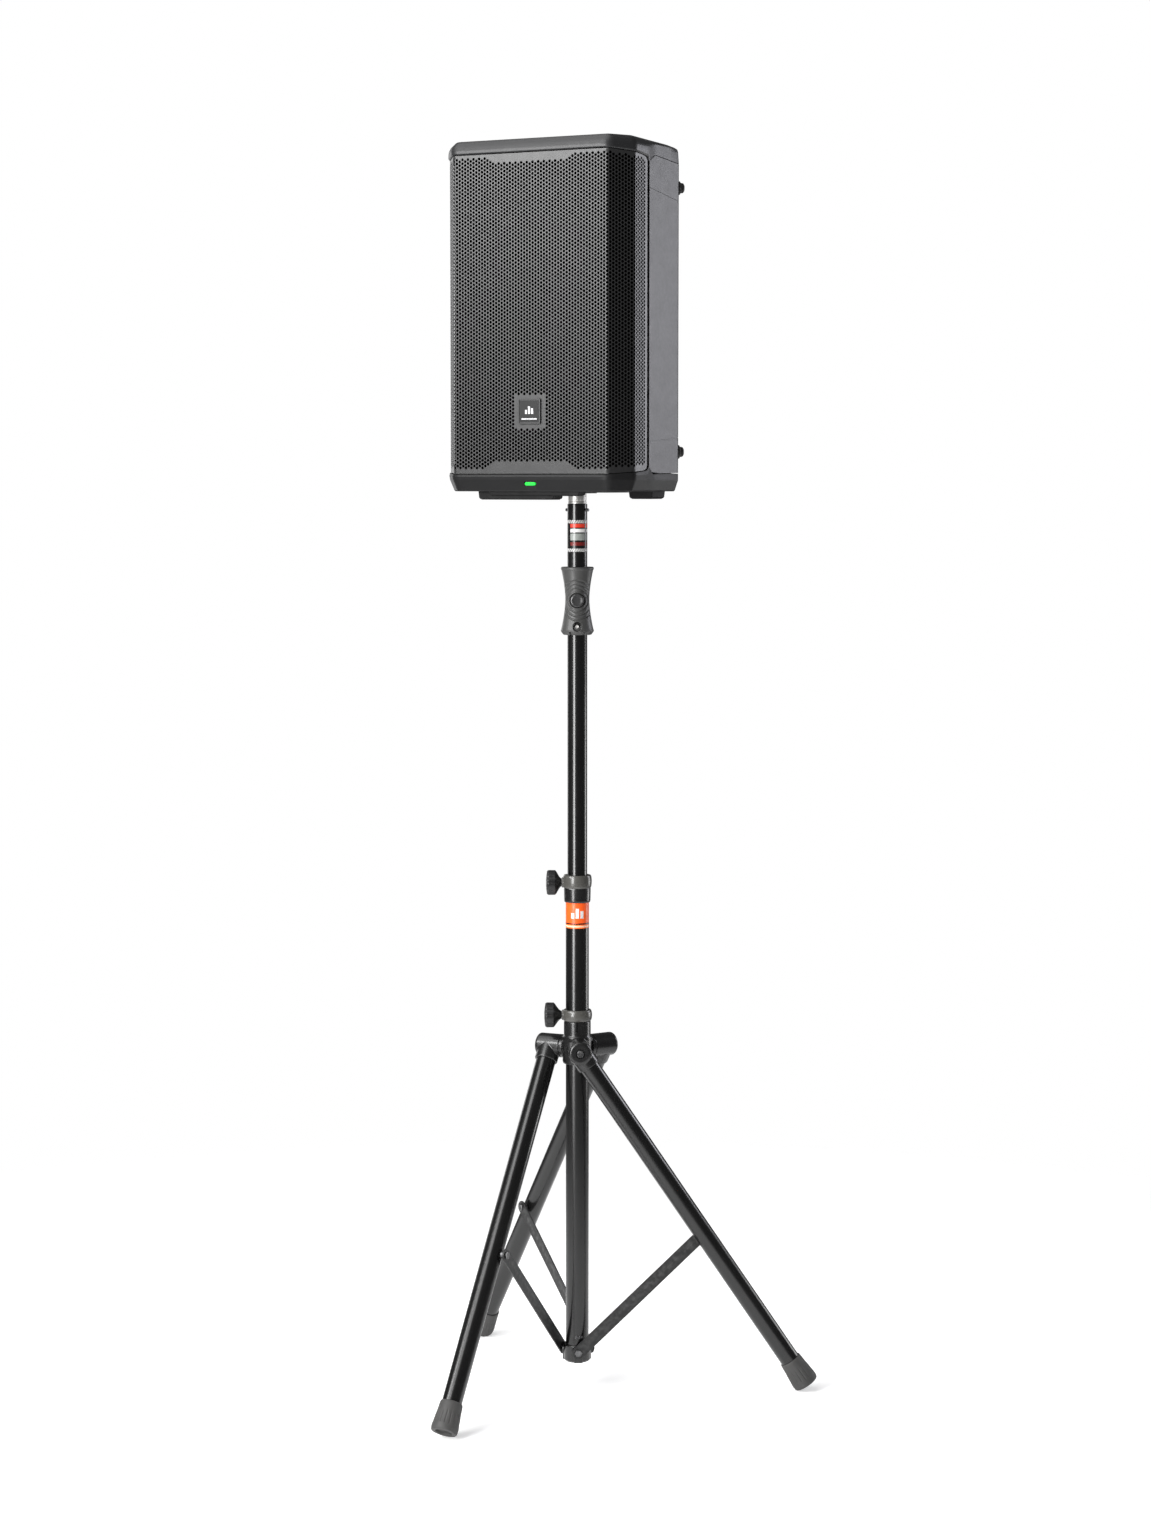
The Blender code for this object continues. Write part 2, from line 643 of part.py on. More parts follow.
def base_cap():
    """Moulded base with the front skid and the rear feet, and the hole for the pole cup."""
    high = SHELL_Z[0] - GAP
    rings = [ring(0.0085, BASE_Z), ring(0.0050, BASE_Z + 0.0020), ring(-0.0020, high - 0.0100),
             ring(-0.0035, high - 0.0040), ring(0.0, high)]
    obj = finish(loft(rings), "base_cap", cabinet_plastic())
    hollow = [ring(0.0220, BASE_Z + 0.0050), ring(0.0080, high - 0.0040), ring(0.0050, high + 0.01)]
    cut(obj, loft(hollow))
    cut(obj, cylinder(0.0236, BASE_Z - 0.02, BASE_Z + 0.02))
    cut(obj, box((-0.0128, FRONT_Y - 0.02, 1.7558), (0.0128, FRONT_Y + 0.0042, 1.7638)))
    feet = [(-0.0990, 0.0990, -0.1640, -0.1380, 1.7370), (-0.1240, 0.0420, -0.1600, -0.1250, 1.7300)]
    feet += [(sign * 0.1380 - 0.0260, sign * 0.1380 + 0.0260, 0.0, 0.0500, 1.7310)
             for sign in (-1, 1)]
    for x0, x1, y0, y1, z in feet:
        join(obj, box((x0, y0, z), (x1, y1, BASE_Z + 0.0030)))


def pole_cup():
    """Socket for the 35 mm spigot, let into the base."""
    bore = SPIGOT_R + RUN
    floor, top = SPIGOT_TOP + GAP, SPIGOT_TOP + 0.0060
    low = BASE_Z - 0.0040
    profile = [(0.0, top), (0.0230, top), (0.0230, BASE_Z - GAP), (0.0380, BASE_Z - GAP),
               (0.0370, low), (bore + 0.0020, low), (bore, low + 0.0030), (bore, floor),
               (0.0, floor)]
    finish(turned(profile, 24), "pole_cup", black_plastic())


def grille():
    """Steel grille, bent round the front corners and back along the sides."""
    path = [(-HALF_WIDTH, GRILLE_BACK_Y), (-HALF_WIDTH, CHAMFER_Y), (-HALF_FACE, FRONT_Y),
            (HALF_FACE, FRONT_Y), (HALF_WIDTH, CHAMFER_Y), (HALF_WIDTH, GRILLE_BACK_Y)]
    inner = offset(path, 0.0016, closed=False)
    outline = path + list(reversed(inner))
    obj = prism(outline, SHELL_Z[0] + 0.0006, SHELL_Z[1] - 0.0006)
    finish(obj, "grille", material("grille_steel", (0.13, 0.13, 0.13), 0.5, 0.4), smooth=False)


def grille_badge():
    obj = box((-0.0240, FRONT_Y - 0.0034, 1.8705), (0.0240, FRONT_Y - GAP, 1.9185))
    bevel(obj, 0.0012, 1, 60)
    finish(obj, "grille_badge", black_plastic(), smooth=False)


def power_led():
    count, half, r = 7, 0.0087, 0.0036
    outline = []
    for center, start in ((half, -math.pi / 2), (-half, math.pi / 2)):
        for i in range(count):
            angle = start + math.pi * i / (count - 1)
            outline.append((center + r * math.cos(angle), r * math.sin(angle)))
    obj = prism(outline, -0.0020, 0.0020)
    finish(obj, "power_led", material("green_led", (0.05, 0.8, 0.15), 0.3), None,
           (0, FRONT_Y + 0.0018, 1.7598), (math.pi / 2, 0, 0))


def top_handle():
    """Handle cup let into the top, with the bar that the hand closes round."""
    high = TOP_Z - 0.0075
    low = high - 0.0520
    obj = finish(box((-0.0750, -0.0450, low), (0.0750, 0.0450, high)), "top_handle",
                 black_plastic(), smooth=False)
    cut(obj, box((-0.0720, -0.0420, low + 0.0030), (0.0720, 0.0420, high + 0.01)))
    bar = cylinder(0.0115, -0.0735, 0.0735, axis="X", sides=16)
    join(obj, bar, (0, 0, high - 0.0125))


# -------------------------------------------------------------------------- speaker drivers
def woofer():
    """Twelve-inch woofer in a frame on the baffle's hole, its axis along Y."""
    seat = joint_empty("woofer_axis", (0, BAFFLE_Y, WOOFER_Z), (math.pi / 2, 0, 0))
    flange = GAP
    basket = [(0.1540, 0.0030), (0.1550, 0.0020), (0.1550, flange), (0.1412, flange),
              (0.1412, -0.0080), (0.0720, -0.0880), (0.0720, -0.0940), (0.0420, -0.0940),
              (0.0420, -0.0915), (0.0690, -0.0915), (0.1385, -0.0090), (0.1385, 0.0030)]
    obj = finish(turned(basket, 28, closed=True), "woofer_basket",
                 material("cast_frame", (0.05, 0.05, 0.05), 0.5, 0.6), seat, (0, 0, 0), (0, 0, 0))
    for turn in (0.0, math.pi / 2):
        cut(obj, box((-0.20, -0.030, -0.0780), (0.20, 0.030, -0.0200)), None, (0, 0, turn))
    magnet = [(0.0, -0.0943), (0.0650, -0.0943), (0.0780, -0.1000), (0.0780, -0.1360),
              (0.0620, -0.1400), (0.0, -0.1400)]
    finish(turned(magnet, 24), "woofer_magnet", zinc_steel(), seat, (0, 0, 0), (0, 0, 0))

    cone_seat = joint_empty("woofer_cone_axis", (0, BAFFLE_Y, WOOFER_Z), (math.pi / 2, 0, 0))
    roll = 0.0055
    face = [(0.0, -0.0270), (0.0220, -0.0310), (0.0380, -0.0440), (0.1240, -0.0020)]
    face += [(0.1270, 0.0025), (0.1315, roll - 0.001), (0.1350, 0.0020), (0.1365, -0.0020)]
    back = [(0.1350, -0.0030), (0.1330, 0.0005), (0.1310, 0.0020), (0.1280, -0.0010),
            (0.1240, -0.0040), (0.0370, -0.0465), (0.0370, -0.0850), (0.0350, -0.0850),
            (0.0350, -0.0455), (0.0210, -0.0330), (0.0, -0.0290)]
    finish(turned(face + back, 28), "woofer_cone", material("paper_cone", (0.03, 0.03, 0.032),
           0.85), cone_seat, (0, 0, 0), (0, 0, 0))


def horn_ring(half_x, half_z, y, roundness, count=24):
    """One section of the horn: between a circle (1) and a near rectangle (0.25)."""
    points = []
    for i in range(count):
        angle = 2 * math.pi * (i + 0.5) / count
        c, s = math.cos(angle), math.sin(angle)
        x = half_x * math.copysign(abs(c) ** roundness, c)
        z = half_z * math.copysign(abs(s) ** roundness, s)
        points.append((x, y, HORN_Z + z))
    return points


def horn():
    """Waveguide from a round throat to a rectangular mouth, and its compression driver."""
    front = BAFFLE_Y - 0.0030
    throat = -0.0560
    rings = [horn_ring(0.0165, 0.0165, throat, 1.0), horn_ring(0.0300, 0.0240, -0.0850, 0.7),
             horn_ring(0.0620, 0.0480, -0.1250, 0.45), horn_ring(0.1220, 0.0740, front, 0.3),
             horn_ring(0.1450, 0.0960, front, 0.2)]
    obj = loft(rings, close_ends=False)
    solid = obj.modifiers.new("wall", "SOLIDIFY")
    solid.thickness = 0.0025
    solid.offset = -1.0
    finish(obj, "horn_flare", black_plastic())
    seat = joint_empty("driver_axis", (0, 0, HORN_Z), (math.pi / 2, 0, 0))
    profile = [(0.0, 0.0540), (0.0180, 0.0540), (0.0180, 0.0470), (0.0400, 0.0440),
               (0.0450, 0.0400), (0.0450, 0.0080), (0.0380, 0.0020), (0.0, 0.0020)]
    finish(turned(profile, 20), "compression_driver", zinc_steel(), seat, (0, 0, 0), (0, 0, 0))


# ------------------------------------------------------------------- speaker, rear amplifier
PANEL_FACE = BACK_Y - 0.0010
DISPLAY_Z = 2.2500
ENCODER_Z = 2.1900
GAIN_Z = 2.1350
JACK_Z = 2.0800
POWER_Z = 1.8850
SIDE_X = 0.0380


def amp_panel():
    """Aluminium rear plate with cooling fins and holes for the controls."""
    gap = 0.0005
    half = HALF_PANEL - gap
    low, high = PANEL_Z[0] + gap, PANEL_Z[1] - gap
    obj = finish(box((-half, PANEL_FACE - 0.0040, low), (half, PANEL_FACE, high)), "amp_panel",
                 material("panel_metal", (0.03, 0.03, 0.032), 0.45, 0.5), smooth=False)
    for i in range(9):
        x = -0.0640 + 0.0160 * i
        join(obj, box((x - 0.0015, PANEL_FACE - 0.0010, 1.9300), (x + 0.0015, PANEL_FACE + 0.0090,
                                                                   2.0400)))
    through = (PANEL_FACE - 0.010, PANEL_FACE + 0.010)
    cut(obj, box((-0.0265, through[0], DISPLAY_Z - 0.0205), (0.0265, through[1],
                                                              DISPLAY_Z + 0.0205)))
    cut(obj, cylinder(0.0034, *through, axis="Y", sides=12), (0, 0, ENCODER_Z))
    for sign in (-1, 1):
        cut(obj, cylinder(0.0034, *through, axis="Y", sides=12), (sign * SIDE_X, 0, GAIN_Z))
        cut(obj, cylinder(0.0125, *through, axis="Y", sides=20), (sign * SIDE_X, 0, JACK_Z))
    cut(obj, box((SIDE_X - 0.0155, through[0], POWER_Z - 0.0125),
                 (SIDE_X + 0.0155, through[1], POWER_Z + 0.0125)))
    cut(obj, box((-SIDE_X - 0.0105, through[0], POWER_Z - 0.0145),
                 (-SIDE_X + 0.0105, through[1], POWER_Z + 0.0145)))


def amp_module():
    """Amplifier and supply on the inside of the panel."""
    obj = finish(box((-0.0600, 0.0950, 1.9100), (0.0600, 0.1380, 2.0600)), "amp_module",
                 material("module_metal", (0.35, 0.35, 0.36), 0.5, 0.8), smooth=False)
    join(obj, cylinder(0.0420, 0.0450, 0.1000, axis="Y", sides=24), (0, 0, 1.9850))
    join(obj, box((-0.0500, 0.1300, 1.9300), (0.0500, PANEL_FACE - 0.0043, 2.0400)))


def display_window():
    obj = box((-0.0260, PANEL_FACE - 0.0060, DISPLAY_Z - 0.0200), (0.0260, PANEL_FACE + 0.0010,
                                                                    DISPLAY_Z + 0.0200))
    finish(obj, "display_window", material("display_glass", (0.01, 0.02, 0.04), 0.08),
           smooth=False)


def panel_knob(name, x, z, radius, reach, mat):
    """A knob on a short shaft through the panel; it turns about Y."""
    seat = joint_empty(f"{name}_axis", (x, PANEL_FACE, z), (-math.pi / 2, 0, 0))
    profile = [(0.0, reach), (radius * 0.85, reach), (radius, reach - 0.0015),
               (radius * 1.06, GAP), (0.0030, GAP), (0.0030, -0.0080), (0.0, -0.0080)]
    return finish(turned(profile, 20), name, mat, seat, (0, 0, 0), (0, 0, 0))


def input_jack(name, x):
    """Round connector shell with an open socket."""
    seat = joint_empty(f"{name}_axis", (x, PANEL_FACE, JACK_Z), (-math.pi / 2, 0, 0))
    profile = [(0.0150, 0.0022), (0.0155, GAP), (0.0121, GAP), (0.0121, -0.0160), (0.0, -0.0160),
               (0.0, -0.0130), (0.0100, -0.0130), (0.0100, 0.0022)]
    profile = profile[5:] + profile[:5]
    finish(turned(profile, 20), name, black_plastic(), seat, (0, 0, 0), (0, 0, 0))


def power_switch():
    seat = joint_empty("power_switch_axis", (-SIDE_X, PANEL_FACE, POWER_Z))
    obj = box((-0.0100, -0.0030, -0.0140), (0.0100, 0.0022, 0.0140))
    bevel(obj, 0.0008, 1, 60)
    finish(obj, "power_switch", black_plastic(), seat, (0, 0, 0), (math.radians(-6), 0, 0),
           smooth=False)


def mains_inlet():
    """Inlet for the mains lead: a socket body with three contact blades."""
    y0, y1 = PANEL_FACE - 0.0180, PANEL_FACE + 0.0020
    obj = box((-0.0150, y0, -0.0120), (0.0150, y1, 0.0120))
    finish(obj, "mains_inlet", black_plastic(), None, (SIDE_X, 0, POWER_Z), (0, 0, 0),
           smooth=False)
    cut(obj, box((-0.0122, y0 + 0.0030, -0.0085), (0.0122, y1 + 0.01, 0.0085)))
    for x, z in ((-0.0070, -0.0020), (0.0, 0.0030), (0.0070, -0.0020)):
        join(obj, box((x - 0.0010, y0 + 0.0020, z - 0.0020), (x + 0.0010, y1 - 0.0040, z + 0.0020)))


# ------------------------------------------------------------------------------------ build
def center_on_floor():
    """Put the frame's origin on the floor, in the middle of the object's box."""
    bpy.context.view_layer.update()
    graph = bpy.context.evaluated_depsgraph_get()
    low, high = [math.inf] * 3, [-math.inf] * 3
    for obj in parts.objects:
        if obj.type != "MESH":
            continue
        solid = obj.evaluated_get(graph)
        for vertex in solid.data.vertices:
            point = solid.matrix_world @ vertex.co
            low = [min(a, b) for a, b in zip(low, point)]
            high = [max(a, b) for a, b in zip(high, point)]
    axis_root.location = (-(low[0] + high[0]) / 2, -(low[1] + high[1]) / 2, -low[2])
    bpy.context.view_layer.update()


def main():
    global parts, cutters, axis_root
    clear_scene()
    parts = new_collection("pa_speaker")
    cutters = new_collection("cutters")
    axis_root = bpy.data.objects.new("pole_axis", None)
    parts.objects.link(axis_root)

    column_tube()
    upper_collar()
    clamp_knob("upper_knob", UPPER_CLAMP_Z, 0.0200, 0.0420, 0.0600)
    bottom_bracket()
    gas_spring_rod()
    leg_hub()
    lower_collar()
    clamp_knob("lower_knob", LOWER_CLAMP_Z, 0.0232, 0.0450, 0.0635)
    for number, azimuth in enumerate(LEG_AZIMUTHS, 1):
        leg(number, azimuth)
        brace(number, azimuth)
    inner_pole()
    pole_bushing()
    gas_spring_cylinder()
    spigot()
    cross_pin()
    grip()
    grip_button()

    cabinet_shell()
    front_baffle()
    top_cap()
    base_cap()
    pole_cup()
    grille()
    grille_badge()
    power_led()
    top_handle()
    woofer()
    horn()
    amp_panel()
    amp_module()
    display_window()
    dark = black_plastic()
    panel_knob("menu_encoder", 0.0, ENCODER_Z, 0.0120, 0.0140, dark)
    panel_knob("gain_knob_1", -SIDE_X, GAIN_Z, 0.0070, 0.0110, dark)
    panel_knob("gain_knob_2", SIDE_X, GAIN_Z, 0.0070, 0.0110, dark)
    input_jack("input_jack_1", -SIDE_X)
    input_jack("input_jack_2", SIDE_X)
    power_switch()
    mains_inlet()
    center_on_floor()


main()
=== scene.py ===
"""Looks of the powered PA speaker on its tripod stand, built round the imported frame.

Metres, +Z up. Shapes are made in a frame on the pole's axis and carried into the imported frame
by POLE_AXIS. The speaker faces -Y. Fine meshes stand in for the plain CAD solids they replace.
"""

import math

import bmesh
import bpy
import numpy as np
from mathutils import Matrix, Vector


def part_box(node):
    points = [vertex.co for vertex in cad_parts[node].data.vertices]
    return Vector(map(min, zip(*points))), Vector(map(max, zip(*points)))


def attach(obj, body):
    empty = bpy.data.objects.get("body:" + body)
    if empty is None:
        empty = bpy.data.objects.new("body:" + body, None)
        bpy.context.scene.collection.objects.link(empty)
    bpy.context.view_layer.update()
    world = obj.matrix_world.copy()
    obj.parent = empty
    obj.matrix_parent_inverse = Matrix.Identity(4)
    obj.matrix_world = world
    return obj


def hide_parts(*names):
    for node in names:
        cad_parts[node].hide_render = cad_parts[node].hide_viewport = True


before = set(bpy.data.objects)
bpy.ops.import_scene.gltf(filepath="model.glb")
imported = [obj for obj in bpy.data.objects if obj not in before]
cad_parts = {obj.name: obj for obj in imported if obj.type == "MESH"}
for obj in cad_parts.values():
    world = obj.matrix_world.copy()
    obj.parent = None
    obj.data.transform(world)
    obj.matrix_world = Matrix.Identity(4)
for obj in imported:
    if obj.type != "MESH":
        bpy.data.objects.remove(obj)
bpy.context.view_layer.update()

# ------------------------------------------------------------------ dimensions, as in the CAD
LEG_AZIMUTHS = (34.0, 154.0, 274.0)
LEG_ANGLE = math.radians(34.0)
HUB_Z = 0.6714
BRACKET_Z = 0.0751
LEG_OFFSET = 0.0587
BRACE_OFFSET = 0.0311
BRACE_PIVOT = 0.4374
LEG_END = 0.7923
LEG_R = 0.019
COLUMN_R = 0.02225
COLUMN_Z = (0.06, 0.975)
POLE_R = 0.01905
POLE_Z = (0.541, 1.7215)
SPIGOT_R = 0.0175
SPIGOT_TOP = 1.815
FRONT_AZIMUTH = -60.0
KNOB_AZIMUTH = 210.0
UPPER_CLAMP_Z = 0.9927
LOWER_CLAMP_Z = 0.7345
GRIP_Z = (1.4712, 1.6012)
BUTTON_Z = 1.5375
SCREW_Z = 1.4873
GAP = 0.0003
RUN = 0.00035

FRONT_Y = -0.177
BACK_Y = 0.16
HALF_FACE = 0.1665
HALF_WIDTH = 0.2
CHAMFER_Y = -0.136
GRILLE_BACK_Y = -0.083
SIDE_END_Y = 0.036
HALF_BACK = 0.098
BASE_Z = 1.7455
SHELL_Z = (1.7775, 2.373)
TOP_Z = 2.3995
TOP_TILT = 0.045
PANEL_Z = (1.84, 2.3)
HALF_PANEL = 0.082
PANEL_FACE = BACK_Y - 0.001
DISPLAY_Z = 2.25
ENCODER_Z = 2.19
GAIN_Z = 2.135
JACK_Z = 2.08
POWER_Z = 1.885
SIDE_X = 0.038

column_low, column_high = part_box("column_tube")
POLE_AXIS = Matrix.Translation(((column_low.x + column_high.x) / 2,
                                (column_low.y + column_high.y) / 2,
                                column_low.z - COLUMN_Z[0]))
AT_ORIGIN = Matrix.Identity(4)


def at(x, y, z):
    return Matrix.Translation((x, y, z))


# ------------------------------------------------------------------------------- materials
class Nodes:
    """A material's node tree, with short ways to add and join nodes."""

    def __init__(self, name):
        self.material = bpy.data.materials.new(name)
        self.material.use_nodes = True
        self.tree = self.material.node_tree
        self.shader = self.tree.nodes["Principled BSDF"]
        self.spot = self.add("ShaderNodeTexCoord").outputs["Object"]

    def add(self, kind, **settings):
        node = self.tree.nodes.new(kind)
        for key, value in settings.items():
            if hasattr(node, key):
                setattr(node, key, value)
            else:
                node.inputs[key.replace("_", " ")].default_value = value
        return node

    def link(self, source, target):
        self.tree.links.new(source, target)

    def noise(self, scale, detail=3.0, stretch=None, roughness=0.5):
        node = self.add("ShaderNodeTexNoise", Scale=scale, Detail=detail, Roughness=roughness)
        where = self.spot
        if stretch:
            mapping = self.add("ShaderNodeMapping", Scale=stretch)
            self.link(where, mapping.inputs["Vector"])
            where = mapping.outputs["Vector"]
        self.link(where, node.inputs["Vector"])
        return node.outputs["Fac"]

    def remap(self, source, low, high, to_low, to_high):
        node = self.add("ShaderNodeMapRange", From_Min=low, From_Max=high, To_Min=to_low,
                        To_Max=to_high)
        self.link(source, node.inputs["Value"])
        return node.outputs["Result"]

    def mix(self, factor, first, second):
        node = self.add("ShaderNodeMix", data_type="RGBA")
        self.link(factor, node.inputs[0])
        for value, socket in ((first, node.inputs[6]), (second, node.inputs[7])):
            if isinstance(value, tuple):
                socket.default_value = (*value, 1.0)
            else:
                self.link(value, socket)
        return node.outputs[2]

    def maths(self, operation, first, second):
        node = self.add("ShaderNodeMath", operation=operation)
        for value, socket in zip((first, second), node.inputs):
            if isinstance(value, (int, float)):
                socket.default_value = value
            else:
                self.link(value, socket)
        return node.outputs[0]

    def bump(self, source, strength, distance, after=None):
        node = self.add("ShaderNodeBump", Strength=strength, Distance=distance)
        self.link(source, node.inputs["Height"])
        if after:
            self.link(after, node.inputs["Normal"])
        return node.outputs["Normal"]


def tint(color, factor):
    return tuple(channel * factor for channel in color)


def grey(color):
    """Three channels, from a colour or from one number for a grey."""
    return color if isinstance(color, tuple) else (color,) * 3


def surface(name, color, roughness, metallic=0.0, specular=0.5, mottle=0.12, spread=0.07,
            grain=0.0, grain_size=0.0008, streak=None, wear=0.0, wear_color=None, coat=0.0,
            coat_roughness=0.1):
    """A worn, slightly uneven finish: colour clouds, roughness clouds, grain, light edges."""
    n = Nodes(name)
    color = grey(color)
    n.shader.inputs["Metallic"].default_value = metallic
    n.shader.inputs["Specular IOR Level"].default_value = specular
    n.shader.inputs["Coat Weight"].default_value = coat
    n.shader.inputs["Coat Roughness"].default_value = coat_roughness
    clouds = n.remap(n.noise(14.0, 4.0), 0.35, 0.65, 0.0, 1.0)
    base = n.mix(clouds, tint(color, 1.0 - mottle), tint(color, 1.0 + mottle))
    rough = n.remap(n.noise(46.0, 5.0, stretch=streak), 0.3, 0.7, roughness - spread,
                    roughness + spread)
    if wear:
        edge = n.remap(n.add("ShaderNodeNewGeometry").outputs["Pointiness"], 0.515, 0.6, 0.0, 1.0)
        patchy = n.remap(n.noise(120.0, 4.0), 0.4, 0.62, 0.15, 1.0)
        worn = n.maths("MULTIPLY", n.maths("MULTIPLY", edge, patchy), wear)
        base = n.mix(worn, base, grey(wear_color) if wear_color else tint(color, 3.0))
    n.link(base, n.shader.inputs["Base Color"])
    n.link(rough, n.shader.inputs["Roughness"])
    if grain:
        fine = n.bump(n.noise(1.0 / grain_size, 2.0), grain, grain_size * 0.25)
        n.link(n.bump(n.noise(60.0, 2.0), grain * 0.12, 0.0008, fine), n.shader.inputs["Normal"])
    return n


def banded(name, bands, roughness):
    """Print on a film: colours by height, from the lowest band's foot upwards."""
    n = Nodes(name)
    height = n.add("ShaderNodeSeparateXYZ")
    n.link(n.spot, height.inputs["Vector"])
    color = n.mix(n.remap(n.noise(220.0), 0.3, 0.7, 0.0, 1.0), tint(bands[0][1], 0.93),
                  tint(bands[0][1], 1.05))
    for start, shade in bands[1:]:
        above = n.maths("GREATER_THAN", height.outputs["Z"], start)
        varied = n.mix(n.remap(n.noise(90.0), 0.3, 0.7, 0.0, 1.0),
                       tint(shade, 0.94), tint(shade, 1.04))
        color = n.mix(above, color, varied)
    n.link(color, n.shader.inputs["Base Color"])
    n.link(n.remap(n.noise(150.0), 0.3, 0.7, roughness - 0.05, roughness + 0.07),
           n.shader.inputs["Roughness"])
    return n


def glowing(name, color, strength):
    """A lit lens, brighter at its middle than at its rim."""
    n = surface(name, tint(color, 0.5), 0.2, mottle=0.05, spread=0.04)
    facing = n.add("ShaderNodeLayerWeight", Blend=0.35)
    n.link(n.mix(facing.outputs["Facing"], color, tint(color, 0.55)),
           n.shader.inputs["Emission Color"])
    n.shader.inputs["Emission Strength"].default_value = strength
    return n


TUBE = surface("tube_gloss_black", 0.0036, 0.23, specular=0.62, mottle=0.25,
               spread=0.02, grain=0.004, grain_size=0.003, streak=(1.0, 1.0, 0.03), wear=0.25,
               wear_color=(0.05, 0.05, 0.052)).material
CAST = surface("casting_satin_black", (0.0075, 0.0075, 0.0076), 0.27, specular=0.6, mottle=0.18,
               spread=0.03, grain=0.04, grain_size=0.002, wear=0.45,
               wear_color=0.06).material
CLAMP = surface("clamp_ring_grey", (0.07, 0.068, 0.062), 0.26, specular=0.65, mottle=0.12,
                spread=0.03, grain=0.04, grain_size=0.0014, wear=0.4,
                wear_color=0.12).material
BRACE = surface("brace_black", (0.009, 0.009, 0.0092), 0.42, specular=0.4, mottle=0.22,
                spread=0.08, grain=0.08, grain_size=0.002, streak=(1.0, 1.0, 0.05), wear=0.6,
                wear_color=0.1).material
PLASTIC = surface("moulded_black", (0.0085, 0.0085, 0.0088), 0.36, mottle=0.15, spread=0.06,
                  grain=0.16, grain_size=0.0009, wear=0.4, wear_color=0.05).material
CABINET = surface("cabinet_charcoal", (0.017, 0.017, 0.0182), 0.4, specular=0.5, mottle=0.03,
                  spread=0.015, grain=0.1, grain_size=0.0006, wear=0.35,
                  wear_color=(0.07, 0.07, 0.073)).material
# A darker, less glossy copy of the cabinet finish: partly a matte base moulding, partly painted shade
# on the downward-facing base.
BASE_MATTE_AND_SHADE = surface("base_matte_and_painted_shade", (0.012, 0.012, 0.0124), 0.42, specular=0.18, mottle=0.04,
               spread=0.02, grain=0.1, grain_size=0.0006, wear=0.3,
               wear_color=(0.05, 0.05, 0.052)).material
GRILLE = surface("grille_powder_coat", (0.02, 0.02, 0.0205), 0.34, specular=0.5, mottle=0.05,
                 spread=0.02, grain=0.1, grain_size=0.0006, wear=0.2,
                 wear_color=0.07).material
# Near-black and without sheen: the black inside of the cabinet, darkened further as painted shade
# behind the grille holes.
INSIDE_BLACK_AND_SHADE = surface("interior_black_and_painted_shade", 0.0004, 0.9, specular=0.0, mottle=0.3,
                 spread=0.05, grain=0.5, grain_size=0.0015).material
RUBBER = surface("foot_rubber", (0.052, 0.051, 0.05), 0.6, specular=0.35, mottle=0.16,
                 spread=0.09, grain=0.3, grain_size=0.0013, wear=0.5,
                 wear_color=(0.1, 0.1, 0.095)).material
RAIL = surface("rail_black", (0.0035, 0.0035, 0.0036), 0.55, specular=0.15, mottle=0.2, spread=0.08,
               grain=0.25, grain_size=0.001, wear=0.3, wear_color=0.03).material
DARK_RUBBER = surface("pad_rubber", 0.01, 0.45, specular=0.4, mottle=0.2,
                      spread=0.08, grain=0.3, grain_size=0.001, wear=0.4,
                      wear_color=0.05).material
GRIP = surface("grip_moulding", (0.056, 0.056, 0.055), 0.42, specular=0.45, mottle=0.08,
               spread=0.05, grain=0.16, grain_size=0.0008, wear=0.35,
               wear_color=(0.13, 0.13, 0.125)).material
GLOSS = surface("button_gloss", (0.006, 0.006, 0.0062), 0.16, mottle=0.2, spread=0.03, grain=0.02,
                grain_size=0.002, coat=0.3, coat_roughness=0.05).material
BUTTON = surface("button_grey", (0.036, 0.036, 0.0365), 0.22, specular=0.5, mottle=0.1, spread=0.03,
                 grain=0.03, grain_size=0.002).material
CHROME = surface("bright_steel", (0.66, 0.65, 0.63), 0.42, metallic=0.75, mottle=0.04, spread=0.03,
                 grain=0.02, grain_size=0.0012, streak=(1.0, 1.0, 0.1)).material
ZINC = surface("black_zinc", (0.085, 0.085, 0.088), 0.3, metallic=0.9, mottle=0.2, spread=0.1,
               grain=0.1, grain_size=0.001, wear=0.7, wear_color=0.35).material
# Near-black and without sheen: the black driver parts and cone, darkened further as painted shade
# behind the grille.
DRIVER_BLACK_AND_SHADE = surface("driver_black_and_painted_shade", 0.0006, 0.8, specular=0.0, mottle=0.15,
                       grain=0.2, grain_size=0.001).material
CONE_BLACK_AND_SHADE = surface("cone_black_and_painted_shade", 0.0006, 0.9, specular=0.0, mottle=0.3,
               spread=0.05, grain=0.6, grain_size=0.0012).material
PANEL = surface("panel_metal", (0.02, 0.02, 0.021), 0.4, metallic=0.4, mottle=0.08, spread=0.08,
                grain=0.15, grain_size=0.0007, streak=(1.0, 1.0, 8.0), wear=0.5,
                wear_color=0.25).material
MODULE = surface("module_metal", (0.3, 0.3, 0.31), 0.45, metallic=0.9, mottle=0.1, spread=0.1,
                 grain=0.1, grain_size=0.001).material
BAND = banded("orange_band", [(0.9054, (0.98, 0.16, 0.022)), (0.9076, (1.0, 0.62, 0.42)),
                              (0.9108, (0.98, 0.16, 0.022)), (0.9128, (0.035, 0.006, 0.004)),
                              (0.9156, (0.98, 0.115, 0.012))], 0.35).material
FILM_WHITE = surface("film_white", (0.78, 0.77, 0.76), 0.3, mottle=0.05, spread=0.05).material
FILM_RED = surface("film_red", (0.72, 0.045, 0.022), 0.3, mottle=0.12, spread=0.05).material
FILM_DEEP = surface("film_deep_red", (0.16, 0.012, 0.01), 0.3, mottle=0.12, spread=0.05).material
